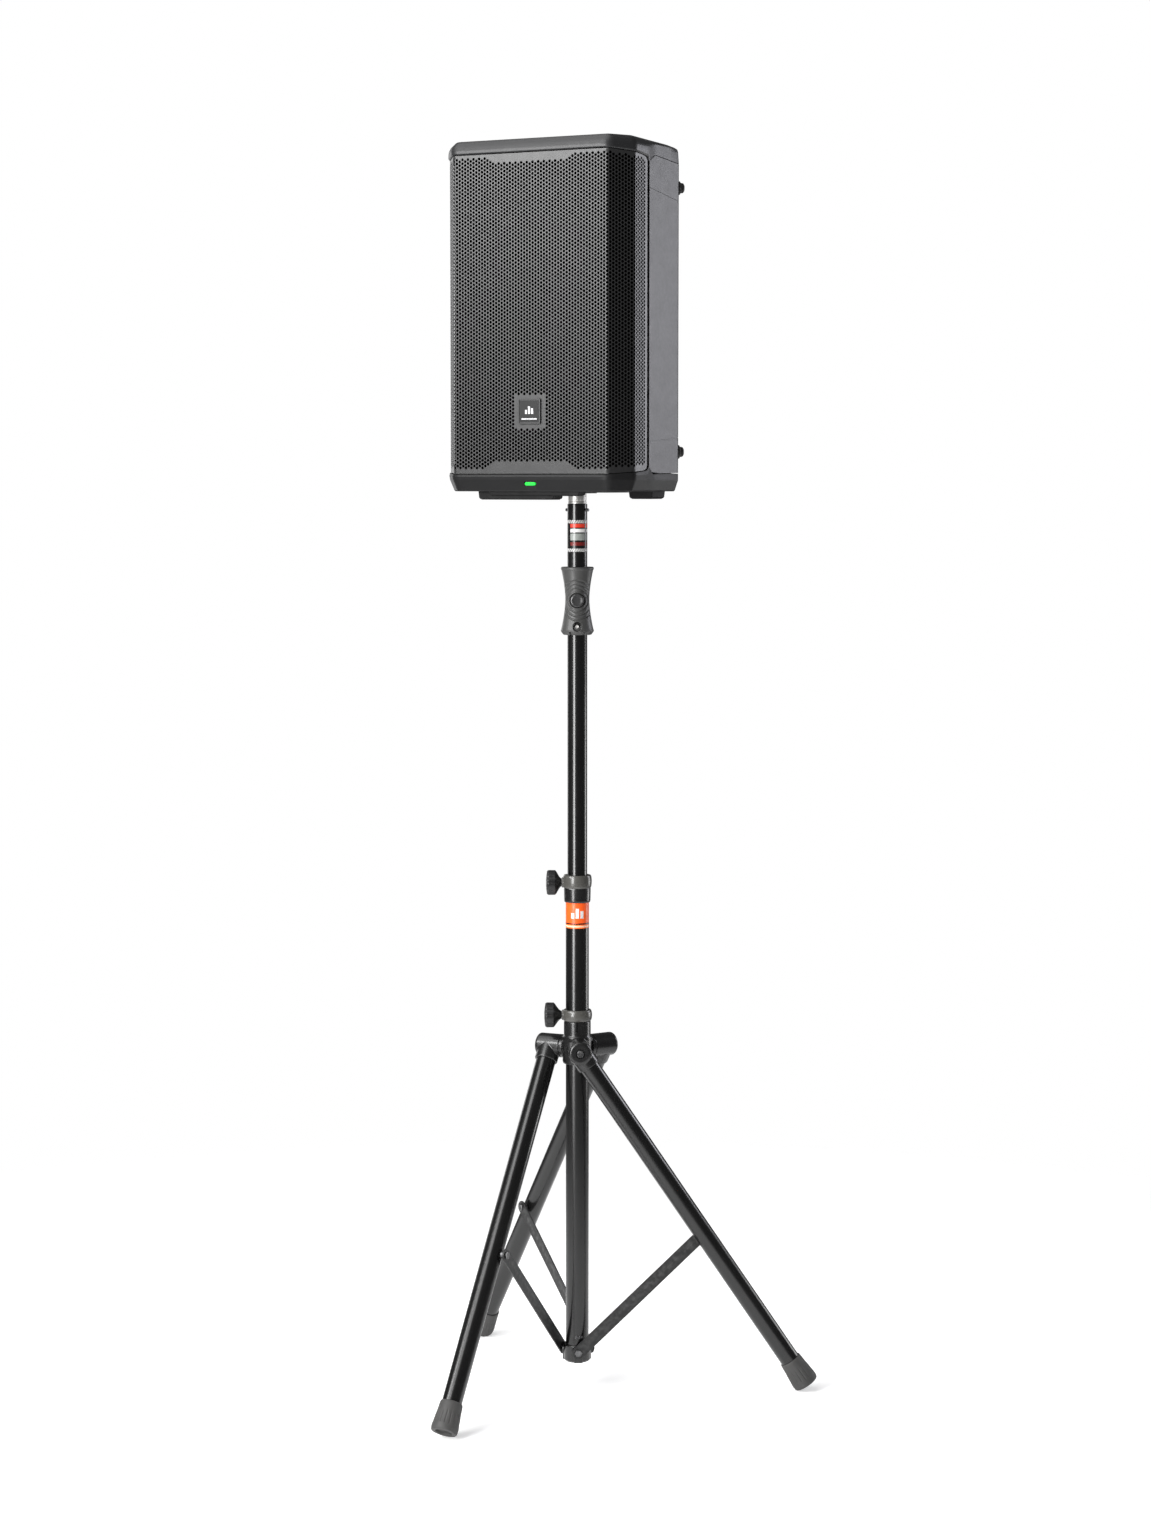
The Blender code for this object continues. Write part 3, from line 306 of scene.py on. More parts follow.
FILM_GREY = surface("film_grey", (0.3, 0.32, 0.3), 0.3, mottle=0.1, spread=0.05).material
FILM_BLACK = surface("film_black", 0.006, 0.25, mottle=0.15, spread=0.05).material
BADGE_FACE = surface("badge_face", (0.007, 0.007, 0.0072), 0.4, specular=0.25, mottle=0.06, spread=0.06,
                     grain=0.1, grain_size=0.0006).material
BADGE_MARK = surface("badge_mark", (0.66, 0.66, 0.67), 0.25, metallic=0.6, mottle=0.05,
                     spread=0.05).material
LED = glowing("led_green", (0.018, 0.68, 0.06), 0.95).material
SCREEN = glowing("screen_blue", (0.01, 0.05, 0.12), 0.35).material
SCREEN_LIT = glowing("screen_lit", (0.35, 0.6, 0.8), 0.8).material


# ------------------------------------------------------------------------------ mesh helpers
def mesh_object(verts, faces):
    mesh = bpy.data.meshes.new("shape")
    mesh.from_pydata(verts, [], faces)
    return object_of(mesh)


def object_of(mesh):
    bm = bmesh.new()
    bm.from_mesh(mesh)
    bmesh.ops.recalc_face_normals(bm, faces=bm.faces)
    bm.to_mesh(mesh)
    bm.free()
    obj = bpy.data.objects.new("shape", mesh)
    bpy.context.scene.collection.objects.link(obj)
    return obj


def rounded(points, radius, steps=4, closed=False):
    """A flat polyline with its corners turned into arcs; radius is a number or one a point."""
    result = []
    count = len(points)
    for i, point in enumerate(points):
        size = radius[i] if isinstance(radius, (list, tuple)) else radius
        here = Vector(point)
        if size <= 0 or (not closed and i in (0, count - 1)):
            result.append(tuple(here))
            continue
        back = Vector(points[i - 1]) - here
        ahead = Vector(points[(i + 1) % count]) - here
        angle = back.angle(ahead)
        reach = min(size / math.tan(angle / 2), 0.48 * back.length, 0.48 * ahead.length)
        back.normalize()
        ahead.normalize()
        if angle > math.radians(177):
            result.append(tuple(here))
            continue
        center = here + (back + ahead).normalized() * (reach / math.cos(angle / 2))
        first = here + back * reach - center
        last = here + ahead * reach - center
        start = math.atan2(first.y, first.x)
        turn = (math.atan2(last.y, last.x) - start + math.pi) % (2 * math.pi) - math.pi
        for k in range(steps + 1):
            a = start + turn * k / steps
            result.append((center.x + first.length * math.cos(a),
                           center.y + first.length * math.sin(a)))
    return result


def lathe(profile, steps=96, closed=False, shape=None):
    """Turn (radius, height) points about Z. shape(angle, radius, height) may move a radius."""
    verts, rows, faces = [], [], []
    for r, z in profile:
        if r < 1e-7:
            rows.append([len(verts)] * steps)
            verts.append((0.0, 0.0, z))
            continue
        rows.append(range(len(verts), len(verts) + steps))
        for k in range(steps):
            a = 2 * math.pi * k / steps
            reach = shape(a, r, z) if shape else r
            verts.append((reach * math.cos(a), reach * math.sin(a), z))
    pairs = list(zip(rows, rows[1:]))
    if closed:
        pairs.append((rows[-1], rows[0]))
    for upper, lower in pairs:
        for k in range(steps):
            j = (k + 1) % steps
            corners = dict.fromkeys((upper[k], lower[k], lower[j], upper[j]))
            if len(corners) > 2:
                faces.append(tuple(corners))
    return mesh_object(verts, faces)


def rod(radius, start, end, axis="Z", steps=48, edge=0.0006):
    """A solid round bar with eased edges along one axis."""
    profile = rounded([(0.0, end), (radius, end), (radius, start), (0.0, start)], edge, 3)
    turn = {"Z": AT_ORIGIN, "Y": Matrix.Rotation(-math.pi / 2, 4, "X"),
            "X": Matrix.Rotation(math.pi / 2, 4, "Y")}[axis]
    return moved(lathe(profile, steps), turn)


def slab(low, high, edge=0.0006, segments=2):
    """A block with eased edges between two corners."""
    bm = bmesh.new()
    bmesh.ops.create_cube(bm, size=1.0)
    bmesh.ops.scale(bm, vec=[h - l for l, h in zip(low, high)], verts=bm.verts)
    bmesh.ops.translate(bm, vec=[(h + l) / 2 for l, h in zip(low, high)], verts=bm.verts)
    if edge:
        bmesh.ops.bevel(bm, geom=bm.edges[:], offset=edge, segments=segments, profile=0.5,
                        affect="EDGES")
    mesh = bpy.data.meshes.new("shape")
    bm.to_mesh(mesh)
    bm.free()
    return object_of(mesh)


def loft(rings):
    """Skin between rings that have the same number of points, closed at both ends."""
    count = len(rings[0])
    verts = [point for ring in rings for point in ring]
    faces = [(r * count + i, r * count + (i + 1) % count, (r + 1) * count + (i + 1) % count,
              (r + 1) * count + i) for r in range(len(rings) - 1) for i in range(count)]
    faces += [tuple(range(count)), tuple(range(count * (len(rings) - 1), count * len(rings)))]
    return mesh_object(verts, faces)


def prism(outline, low, high, edge=0.0, steps=3):
    """A flat outline extruded in Z, with its end edges eased."""
    if not edge:
        return loft([[(x, y, z) for x, y in outline] for z in (low, high)])
    rings = []
    for k in range(steps + 1):
        a = math.pi / 2 * k / steps
        rings.append((offset(outline, edge * (1 - math.sin(a))), edge * (1 - math.cos(a))))
    lower = [[(x, y, low + rise) for x, y in ring] for ring, rise in rings]
    upper = [[(x, y, high - rise) for x, y in ring] for ring, rise in reversed(rings)]
    return loft(lower + upper)


def offset(outline, inset, closed=True):
    """Move every side of an anticlockwise outline inwards by the same distance."""
    result = []
    count = len(outline)
    for i, point in enumerate(outline):
        here = Vector(point)
        before = here - Vector(outline[i - 1])
        after = Vector(outline[(i + 1) % count]) - here
        if not closed and i == 0:
            before = after
        if not closed and i == count - 1:
            after = before
        n1 = Vector((-before.y, before.x)).normalized()
        n2 = Vector((-after.y, after.x)).normalized()
        middle = (n1 + n2).normalized()
        result.append(tuple(here + middle * (inset / middle.dot(n1))))
    return result


def moved(obj, matrix):
    obj.data.transform(matrix)
    if matrix.determinant() < 0:
        obj.data.flip_normals()
    return obj


def applied(obj):
    """Turn the object's modifiers into its mesh."""
    bpy.context.view_layer.update()
    graph = bpy.context.evaluated_depsgraph_get()
    mesh = bpy.data.meshes.new_from_object(obj.evaluated_get(graph))
    obj.modifiers.clear()
    obj.data = mesh
    return obj


def boolean(obj, tool, operation):
    modifier = obj.modifiers.new("shape", "BOOLEAN")
    modifier.operation = operation
    modifier.solver = "EXACT"
    modifier.object = tool
    applied(obj)
    bpy.data.objects.remove(tool)
    return obj


def carve(obj, *tools):
    for tool in tools:
        boolean(obj, tool, "DIFFERENCE")
    return obj


def gathered(*shapes):
    """Several closed shapes as one object."""
    bm = bmesh.new()
    for shape in shapes:
        bm.from_mesh(shape.data)
    mesh = bpy.data.meshes.new("shape")
    bm.to_mesh(mesh)
    bm.free()
    for shape in shapes:
        bpy.data.objects.remove(shape)
    obj = bpy.data.objects.new("shape", mesh)
    bpy.context.scene.collection.objects.link(obj)
    return obj


def cast(*shapes, voxel=0.0007, smoothing=5):
    """Shapes run together like a casting, with soft inner corners and edges."""
    obj = gathered(*shapes)
    remesh = obj.modifiers.new("cast", "REMESH")
    remesh.mode = "VOXEL"
    remesh.voxel_size = voxel
    soften = obj.modifiers.new("soften", "SMOOTH")
    soften.factor = 0.5
    soften.iterations = smoothing
    return applied(obj)


def piece(obj, name, mat, body, matrix=AT_ORIGIN, replaces=(), sharp=38.0, weighted=True,
          upright=False):
    """Name, shade and place a finished shape, and let it ride its body."""
    obj.name = name
    obj.data.name = name
    obj.data.materials.clear()
    obj.data.materials.append(mat)
    obj.data.shade_smooth()
    obj.data.set_sharp_from_angle(angle=math.radians(sharp))
    if weighted:
        normals = obj.modifiers.new("normals", "WEIGHTED_NORMAL")
        normals.keep_sharp = True
    if upright:
        moved(obj, POLE_AXIS @ matrix)
    else:
        obj.matrix_world = POLE_AXIS @ matrix
    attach(obj, body)
    if replaces:
        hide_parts(*replaces)
    return obj


def heading(azimuth, radius=1.0):
    angle = math.radians(azimuth)
    return Vector((radius * math.cos(angle), radius * math.sin(angle), 0.0))


def spun(azimuth, height=0.0):
    """A frame at a height on the pole's axis, its X along an azimuth."""
    return at(0, 0, height) @ Matrix.Rotation(math.radians(azimuth), 4, "Z")


X_FROM_Z = Matrix.Rotation(math.pi / 2, 4, "Y")
Y_FROM_Z = Matrix.Rotation(-math.pi / 2, 4, "X")


# ------------------------------------------------------------------------------ small parts
def hex_head(radius, low, high):
    """Hexagon head along Z with its corners turned down at the top."""
    outline = [(radius * math.cos(math.radians(60 * i)), radius * math.sin(math.radians(60 * i)))
               for i in range(6)]
    rise = high - low
    rings = [[(x * s, y * s, low + rise * t) for x, y in outline]
             for t, s in ((0.0, 0.985), (0.06, 1.0), (0.78, 1.0), (0.92, 0.95), (1.0, 0.86))]
    return loft(rings)


def bolt(head_base, head_height, shank_end, washer=None):
    """A hex bolt along +Z from a shank end up to its head, with an optional washer."""
    shapes = [hex_head(0.0072, head_base, head_base + head_height),
              rod(0.004, min(shank_end, head_base), max(shank_end, head_base) + 0.0004, steps=32)]
    if washer:
        shapes.append(rod(0.0078, *sorted(washer), steps=48, edge=0.0005))
    return gathered(*shapes)


def socket_screw(radius, height):
    """A round-headed screw with a hexagon socket, its seat at z = 0."""
    profile = rounded([(0.0, height * 0.45), (radius * 0.42, height * 0.45),
                       (radius * 0.46, height), (radius * 0.8, height), (radius, height * 0.55),
                       (radius, -0.0008), (0.0, -0.0008)], radius * 0.08, 2)
    return lathe(profile, 36)


# ----------------------------------------------------------------------------- stand, column
def band_patch(radius, angles, heights, shear=0.0, thickness=0.00008, steps=10, levels=1):
    """A thin curved patch of printed film on a tube, leaning by shear degrees over its height."""
    verts, faces = [], []
    row = steps + 1
    count = row * (levels + 1)
    for shell in (radius, radius + thickness):
        for level in range(levels + 1):
            share = level / levels
            for k in range(row):
                a = math.radians(angles[0] + (angles[1] - angles[0]) * k / steps + shear * share)
                verts.append((shell * math.cos(a), shell * math.sin(a),
                              heights[0] + (heights[1] - heights[0]) * share))
    for a in range(0, levels * row, row):
        for k in range(steps):
            faces.append((a + k, a + k + 1, a + row + k + 1, a + row + k))
            faces.append((count + a + k, count + a + row + k, count + a + row + k + 1,
                          count + a + k + 1))
        for k in (0, steps):
            faces.append((a + k, a + row + k, count + a + row + k, count + a + k))
    for a in (0, levels * row):
        faces += [(a + k, count + a + k, count + a + k + 1, a + k + 1) for k in range(steps)]
    return mesh_object(verts, faces)


def level_mark(radius, azimuth, low, width, height):
    """Three plain bars of rising height, a generic mark."""
    bars = []
    for i, share in enumerate((0.55, 1.0, 0.75)):
        middle = azimuth + (i - 1) * width * 0.38
        bars.append(band_patch(radius, (middle - width * 0.13, middle + width * 0.13),
                               (low, low + height * share), steps=6))
    return gathered(*bars)


def tube(name, body, radius, wall, low, high, mat, slot, matrix=AT_ORIGIN, steps=96):
    inner = radius - wall
    profile = rounded([(radius, high), (radius, low), (inner, low), (inner, high)], wall * 0.35, 3,
                      closed=True)
    rings = []
    for a, b in zip(profile, profile[1:] + profile[:1]):
        rings.append(a)
        if abs(a[1] - b[1]) > 0.1:
            rings += [(a[0] + (b[0] - a[0]) * k / 12, a[1] + (b[1] - a[1]) * k / 12)
                      for k in range(1, 12)]
    return piece(lathe(rings, steps, closed=True), name, mat, body, matrix, (name,))


def column():
    tube("column_tube", "stand", COLUMN_R, 0.0018, *COLUMN_Z, TUBE, "black_tube")
    sleeve = [(COLUMN_R + 0.00015, 0.9562), (COLUMN_R + 0.00015, 0.9054),
              (COLUMN_R + 0.00002, 0.9054), (COLUMN_R + 0.00002, 0.9562)]
    piece(lathe(sleeve, 96, closed=True), "colour_band", BAND, "stand")
    piece(level_mark(COLUMN_R + 0.00016, FRONT_AZIMUTH, 0.925, 62.0, 0.019), "band_mark",
          FILM_WHITE, "stand")
    for number, azimuth in enumerate((-63.0, -44.5), 1):
        seat = spun(azimuth, 0.1035) @ at(COLUMN_R, 0, 0) @ X_FROM_Z
        piece(socket_screw(0.0036, 0.0016), f"column_screw_{number}", ZINC, "stand",
              seat)


def knob_boss(height, end):
    return moved(rod(0.01, 0.0235, end, "X", edge=0.0012), spun(KNOB_AZIMUTH, height))


def clamp_ring(bore, low, high, radius, height, wide=0.0268):
    """Closed clamp band with the boss that takes the knob's screw."""
    middle = (low + high) / 2
    ring = [(bore, high), (wide - 0.0004, high), (radius - 0.0006, high - 0.004),
            (radius + 0.0003, middle), (radius - 0.0006, low + 0.0042), (wide - 0.0004, low),
            (bore, low)]
    ease = [0.0004, 0.0022, 0.008, 0.05, 0.008, 0.0015, 0.0004]
    return cast(lathe(rounded(ring, ease, 4, closed=True), 128, closed=True),
                knob_boss(height, 0.03), voxel=0.0005, smoothing=3)


def upper_collar():
    bore, socket = POLE_R + RUN, COLUMN_R + RUN
    ring = clamp_ring(bore, 0.9826, 1.0077, 0.0279, UPPER_CLAMP_Z, 0.0264)
    piece(ring, "upper_clamp_ring", CLAMP, "stand", replaces=("upper_collar",),
          sharp=60)
    outer = [(bore, 0.9832), (0.0252, 0.9832), (0.0259, 0.9808), (0.0254, 0.958),
             (0.0243, 0.9548), (socket, 0.9548), (socket, 0.9753), (bore, 0.9753)]
    ease = [0, 0.0008, 0.0012, 0.003, 0.0012, 0.0004, 0.0003, 0.0003]
    piece(lathe(rounded(outer, ease, 5, closed=True), 128, closed=True), "upper_sleeve", CAST,
          "stand", sharp=40)


def bottom_bracket():
    low, high, floor = 0.053, 0.0872, COLUMN_Z[0] - 0.0014
    pocket = COLUMN_R + RUN
    outer = [(0.0, floor), (pocket, floor), (pocket, high), (0.0246, high), (0.0262, high - 0.002),
             (0.0262, low + 0.004), (0.0225, low), (0.0, low)]
    shapes = [lathe(rounded(outer, 0.0012, 3), 96)]
    face = BRACE_OFFSET - 0.0015 - RUN
    for azimuth in LEG_AZIMUTHS:
        shapes.append(moved(rod(0.012, -face, -0.024, "Y", edge=0.0012), spun(azimuth, BRACKET_Z)))
        web = slab((-0.0085, -face + 0.0012, 0.0535 - BRACKET_Z), (0.0085, -0.024, 0.0), 0.0015)
        shapes.append(moved(web, spun(azimuth, BRACKET_Z)))
    piece(cast(*shapes, voxel=0.0006), "bottom_bracket", CAST, "stand",
          replaces=("bottom_bracket",), sharp=60)


def clamp_knob(name, height, screw_tip, head_start, head_end):
    """Five-lobed clamp knob on a flared neck; its own axis is Z here and X on the stand."""
    seat = 0.0304
    flare = head_start - seat
    profile = [(0.0, head_end), (0.0125, head_end), (0.0226, head_end - 0.0014),
               (0.0243, head_end - 0.0046), (0.0241, head_start + 0.0026), (0.0212, head_start),
               (0.015, seat + flare * 0.66), (0.0105, seat + flare * 0.38),
               (0.0083, seat + flare * 0.16), (0.0078, seat)]
    ease = [0, 0.004, 0.002, 0.002, 0.002, 0.002, 0.006, 0.006, 0.004, 0]
    smooth = rounded(profile, ease, 5)
    smooth += [(0.0076, seat - 0.0001), (0.004, seat - 0.0002), (0.004, screw_tip + 0.0006),
               (0.0034, screw_tip), (0.0, screw_tip)]

    def lobes(angle, radius, z):
        share = min(1.0, max(0.0, (radius - 0.0105) / 0.0125))
        valley = max(0.0, math.cos(5 * (angle - math.radians(36)))) ** 1.6
        return radius - 0.0048 * share * valley

    matrix = spun(KNOB_AZIMUTH, height) @ X_FROM_Z
    cap = rounded([(0.0, head_end + 0.00035), (0.0085, head_end + 0.00035),
                   (0.0095, head_end - 0.0004), (0.0095, head_end - 0.003),
                   (0.0, head_end - 0.003)], 0.0004, 2)
    piece(lathe(smooth, 160, shape=lobes), name, PLASTIC, name, matrix, (name,),
          sharp=50)
    piece(lathe(cap, 64), f"{name}_cap", GLOSS, name, matrix)


# -------------------------------------------------------------------------------- stand, hub
def hub():
    bore = COLUMN_R + RUN
    top = LOWER_CLAMP_Z - 0.0112
    outer = [(bore, top), (0.0252, top), (0.026, top - 0.0012), (0.026, 0.696),
             (0.0284, 0.6925), (0.0284, 0.644), (0.0268, 0.64), (bore, 0.64)]
    shapes = [lathe(rounded(outer, 0.001, 3, closed=True), 128, closed=True)]
    for azimuth in LEG_AZIMUTHS:
        arm = rod(0.0222, -0.0314, -0.0236, "Y", steps=72, edge=0.0)
        shapes.append(moved(arm, spun(azimuth, HUB_Z)))
    obj = cast(*shapes)
    slot = moved(slab((0.015, -0.0019, 0.7035), (0.03, 0.0019, top + 0.005), 0.0),
                 spun(FRONT_AZIMUTH))
    piece(carve(obj, slot), "leg_hub", CAST, "hub", replaces=("leg_hub",), sharp=60)

    ring = clamp_ring(bore, LOWER_CLAMP_Z - 0.0109, LOWER_CLAMP_Z + 0.0109, 0.0285, LOWER_CLAMP_Z)
    piece(ring, "lower_collar", CLAMP, "hub", replaces=("lower_collar",), sharp=60)


# ------------------------------------------------------------------------------- stand, legs
def leg(number, azimuth):
    """A leg on its pivot: leg down -Z, joint axis along Y, column at +Y."""
    body = f"leg_{number}"
    seat = Matrix.Translation(-heading(azimuth + 90, LEG_OFFSET) + Vector((0, 0, HUB_Z))) \
        @ Matrix.Rotation(math.radians(azimuth), 4, "Z")
    pivot = seat @ Matrix.Rotation(-LEG_ANGLE, 4, "Y")
    inner_face = LEG_OFFSET - 0.0314 - RUN
    outer_face = -0.0245
    barrel = rounded([(0.0, inner_face), (0.0226, inner_face), (0.0226, outer_face),
                      (0.0, outer_face)], [0, 0.0002, 0.0066, 0], 6)
    sleeve_end = -0.034
    sleeve = rounded([(0.0, 0.0), (0.0222, 0.0), (0.0222, sleeve_end), (0.0, sleeve_end)],
                     [0, 0.0005, 0.0022, 0], 4)
    obj = cast(moved(lathe(barrel, 96), Y_FROM_Z), lathe(sleeve, 96))
    carve(obj, rod(LEG_R + RUN / 2, sleeve_end - 0.004, -0.0115, steps=96, edge=0.0),
          rod(0.0092, outer_face - 0.01, outer_face + 0.0035, "Y", edge=0.0))
    piece(obj, f"leg_knuckle_{number}", CAST, body, pivot,
          (f"leg_knuckle_{number}",), sharp=50)
    tube(f"leg_tube_{number}", body, LEG_R, 0.0018, -LEG_END + 0.012, -0.0118, TUBE, "black_tube",
         pivot, 80)
    foot(number, body, pivot)
    head = Matrix.Rotation(math.pi / 2, 4, "X")
    shape = moved(bolt(-outer_face - 0.0031, 0.0056, -(LEG_OFFSET - 0.025)), head)
    piece(shape, f"leg_bolt_{number}", ZINC, "hub", seat, (f"leg_bolt_{number}",))


def foot(number, body, pivot):
    """Ribbed rubber foot, wider where it stands, with a hollow in its sole."""
    top, end = -LEG_END + 0.058, -LEG_END
    hold, floor = LEG_R + RUN / 2, -LEG_END + 0.0117
    outer = [(hold, floor), (hold, top), (0.0206, top), (0.0216, top - 0.003),
             (0.0222, top - 0.012), (0.0228, top - 0.02), (0.0236, top - 0.026),
             (0.0246, end + 0.02), (0.0255, end + 0.013), (0.0256, end + 0.008),
             (0.0251, end + 0.0026), (0.0237, end), (0.0168, end), (0.015, end + 0.005),
             (0.0, end + 0.005)]
    profile = rounded(outer, 0.0012, 3)
    profile += [(0.0, floor)]
    fine = []
    for a, b in zip(profile, profile[1:]):
        pieces_between = max(1, int(abs(a[1] - b[1]) / 0.0012)) if a[0] > 0.0205 else 1
        fine += [(a[0] + (b[0] - a[0]) * k / pieces_between,
                  a[1] + (b[1] - a[1]) * k / pieces_between)
                 for k in range(pieces_between)]
    fine.append(profile[-1])

    def ribs(angle, radius, z):
        if radius < 0.021:
            return radius
        rise = min(1.0, max(0.0, (top - 0.015 - z) / 0.008))
        fall = min(1.0, max(0.0, (z - end - 0.012) / 0.004))
        groove = max(0.0, math.cos(18 * angle)) ** 3
        return radius - 0.0009 * rise * fall * groove

    piece(lathe(fine, 216, shape=ribs), f"leg_foot_{number}", RUBBER, body, pivot,
          (f"leg_foot_{number}",), sharp=50, upright=True)


def brace(number, azimuth):
    """Flat brace from its lug up to the leg, with the bolts at both ends."""
    body = f"brace_{number}"
    across = BRACE_PIVOT * math.sin(LEG_ANGLE)
    up = HUB_Z - BRACE_PIVOT * math.cos(LEG_ANGLE) - BRACKET_Z
    length = math.hypot(across, up)
    seat = Matrix.Translation(-heading(azimuth + 90, BRACE_OFFSET) + Vector((0, 0, BRACKET_Z))) \
        @ Matrix.Rotation(math.radians(azimuth), 4, "Z")
    pivot = seat @ Matrix.Rotation(math.atan2(across, up), 4, "Y")
    half, count = 0.0122, 20
    ends = []
    for center, start in ((length, 0.0), (0.0, math.pi)):
        for i in range(count + 1):
            angle = start + math.pi * i / count
            ends.append((half * math.cos(angle), center + half * math.sin(angle)))
    bar = moved(prism(ends, -0.0015, 0.0015, 0.0005), Matrix.Rotation(math.pi / 2, 4, "X"))
    carve(bar, rod(0.0043, -0.01, 0.01, "Y", edge=0.0),
          moved(rod(0.0043, -0.01, 0.01, "Y", edge=0.0), at(0, 0, length)))
    piece(bar, body, BRACE, body, pivot, (body,), sharp=25)
    leg_side = -(LEG_OFFSET - LEG_R - BRACE_OFFSET) + 0.0004
    shape = moved(bolt(0.0018, 0.0038, leg_side, (-0.0018, leg_side)), Y_FROM_Z)
    piece(shape, f"brace_bolt_{number}", ZINC, body,
          pivot @ at(0, 0, length), (f"brace_bolt_{number}",))
    shape = moved(bolt(0.0018, 0.0036, -0.0064), Matrix.Rotation(math.pi / 2, 4, "X"))
    piece(shape, f"bracket_bolt_{number}", ZINC, "stand", seat,
          (f"bracket_bolt_{number}",))


# ------------------------------------------------------------------------------- stand, pole
def pole():
    tube("inner_pole", "pole", POLE_R, 0.002, *POLE_Z, TUBE, "black_tube")
    profile = rounded([(0.0, SPIGOT_TOP), (SPIGOT_R - 0.003, SPIGOT_TOP),
                       (SPIGOT_R, SPIGOT_TOP - 0.004), (SPIGOT_R, 1.729),
                       (SPIGOT_R - 0.0006, 1.7282), (SPIGOT_R - 0.0006, 1.7262),
                       (SPIGOT_R, 1.7254), (SPIGOT_R, POLE_Z[1] + GAP),
                       (0.0166, POLE_Z[1] + 0.0002),
                       (0.0166, 1.675), (0.0, 1.675)], 0.0004, 2)
    piece(lathe(profile, 80), "spigot", CHROME, "pole", replaces=("spigot",))
    pin = rounded([(0.0, 0.025), (0.0026, 0.025), (0.003, 0.0244), (0.003, -0.0244),
                   (0.0026, -0.025), (0.0, -0.025)], 0.0003, 2)
    piece(moved(lathe(pin, 32), X_FROM_Z), "cross_pin", ZINC, "pole",
          at(0, 0, 1.71), ("cross_pin",))
    label()
    grip()


def label():
    """A plain sleeve of colour blocks on the pole, with a stroked border above and below."""
    r = POLE_R + 0.00012
    sleeve = [(r, 1.6915), (r, 1.6295), (POLE_R + 0.00002, 1.6295), (POLE_R + 0.00002, 1.6915)]
    piece(lathe(sleeve, 96, closed=True), "label_ground", FILM_BLACK, "pole")
    white, red, grey, deep = [], [], [], []
    strokes = 25
    for low, high in ((1.6846, 1.6906), (1.6304, 1.6364)):
        for k in range(strokes):
            start = FRONT_AZIMUTH + 360.0 * k / strokes
            white.append(band_patch(r, (start, start + 7.6), (low, high), shear=13.0, steps=3,
                                    levels=6))
    for first, last in ((-44.0, 48.0), (60.0, 152.0)):
        span = (FRONT_AZIMUTH + first, FRONT_AZIMUTH + last)
        red.append(band_patch(r, span, (1.6765, 1.6836)))
        white.append(band_patch(r, span, (1.6672, 1.674)))
        grey.append(band_patch(r, span, (1.652, 1.665)))
        deep.append(band_patch(r, span, (1.642, 1.6486)))
    for name, patches, mat in (("label_white", white, FILM_WHITE), ("label_red", red, FILM_RED),
                               ("label_grey", grey, FILM_GREY), ("label_deep", deep, FILM_DEEP)):
        piece(gathered(*patches), name, mat, "pole")


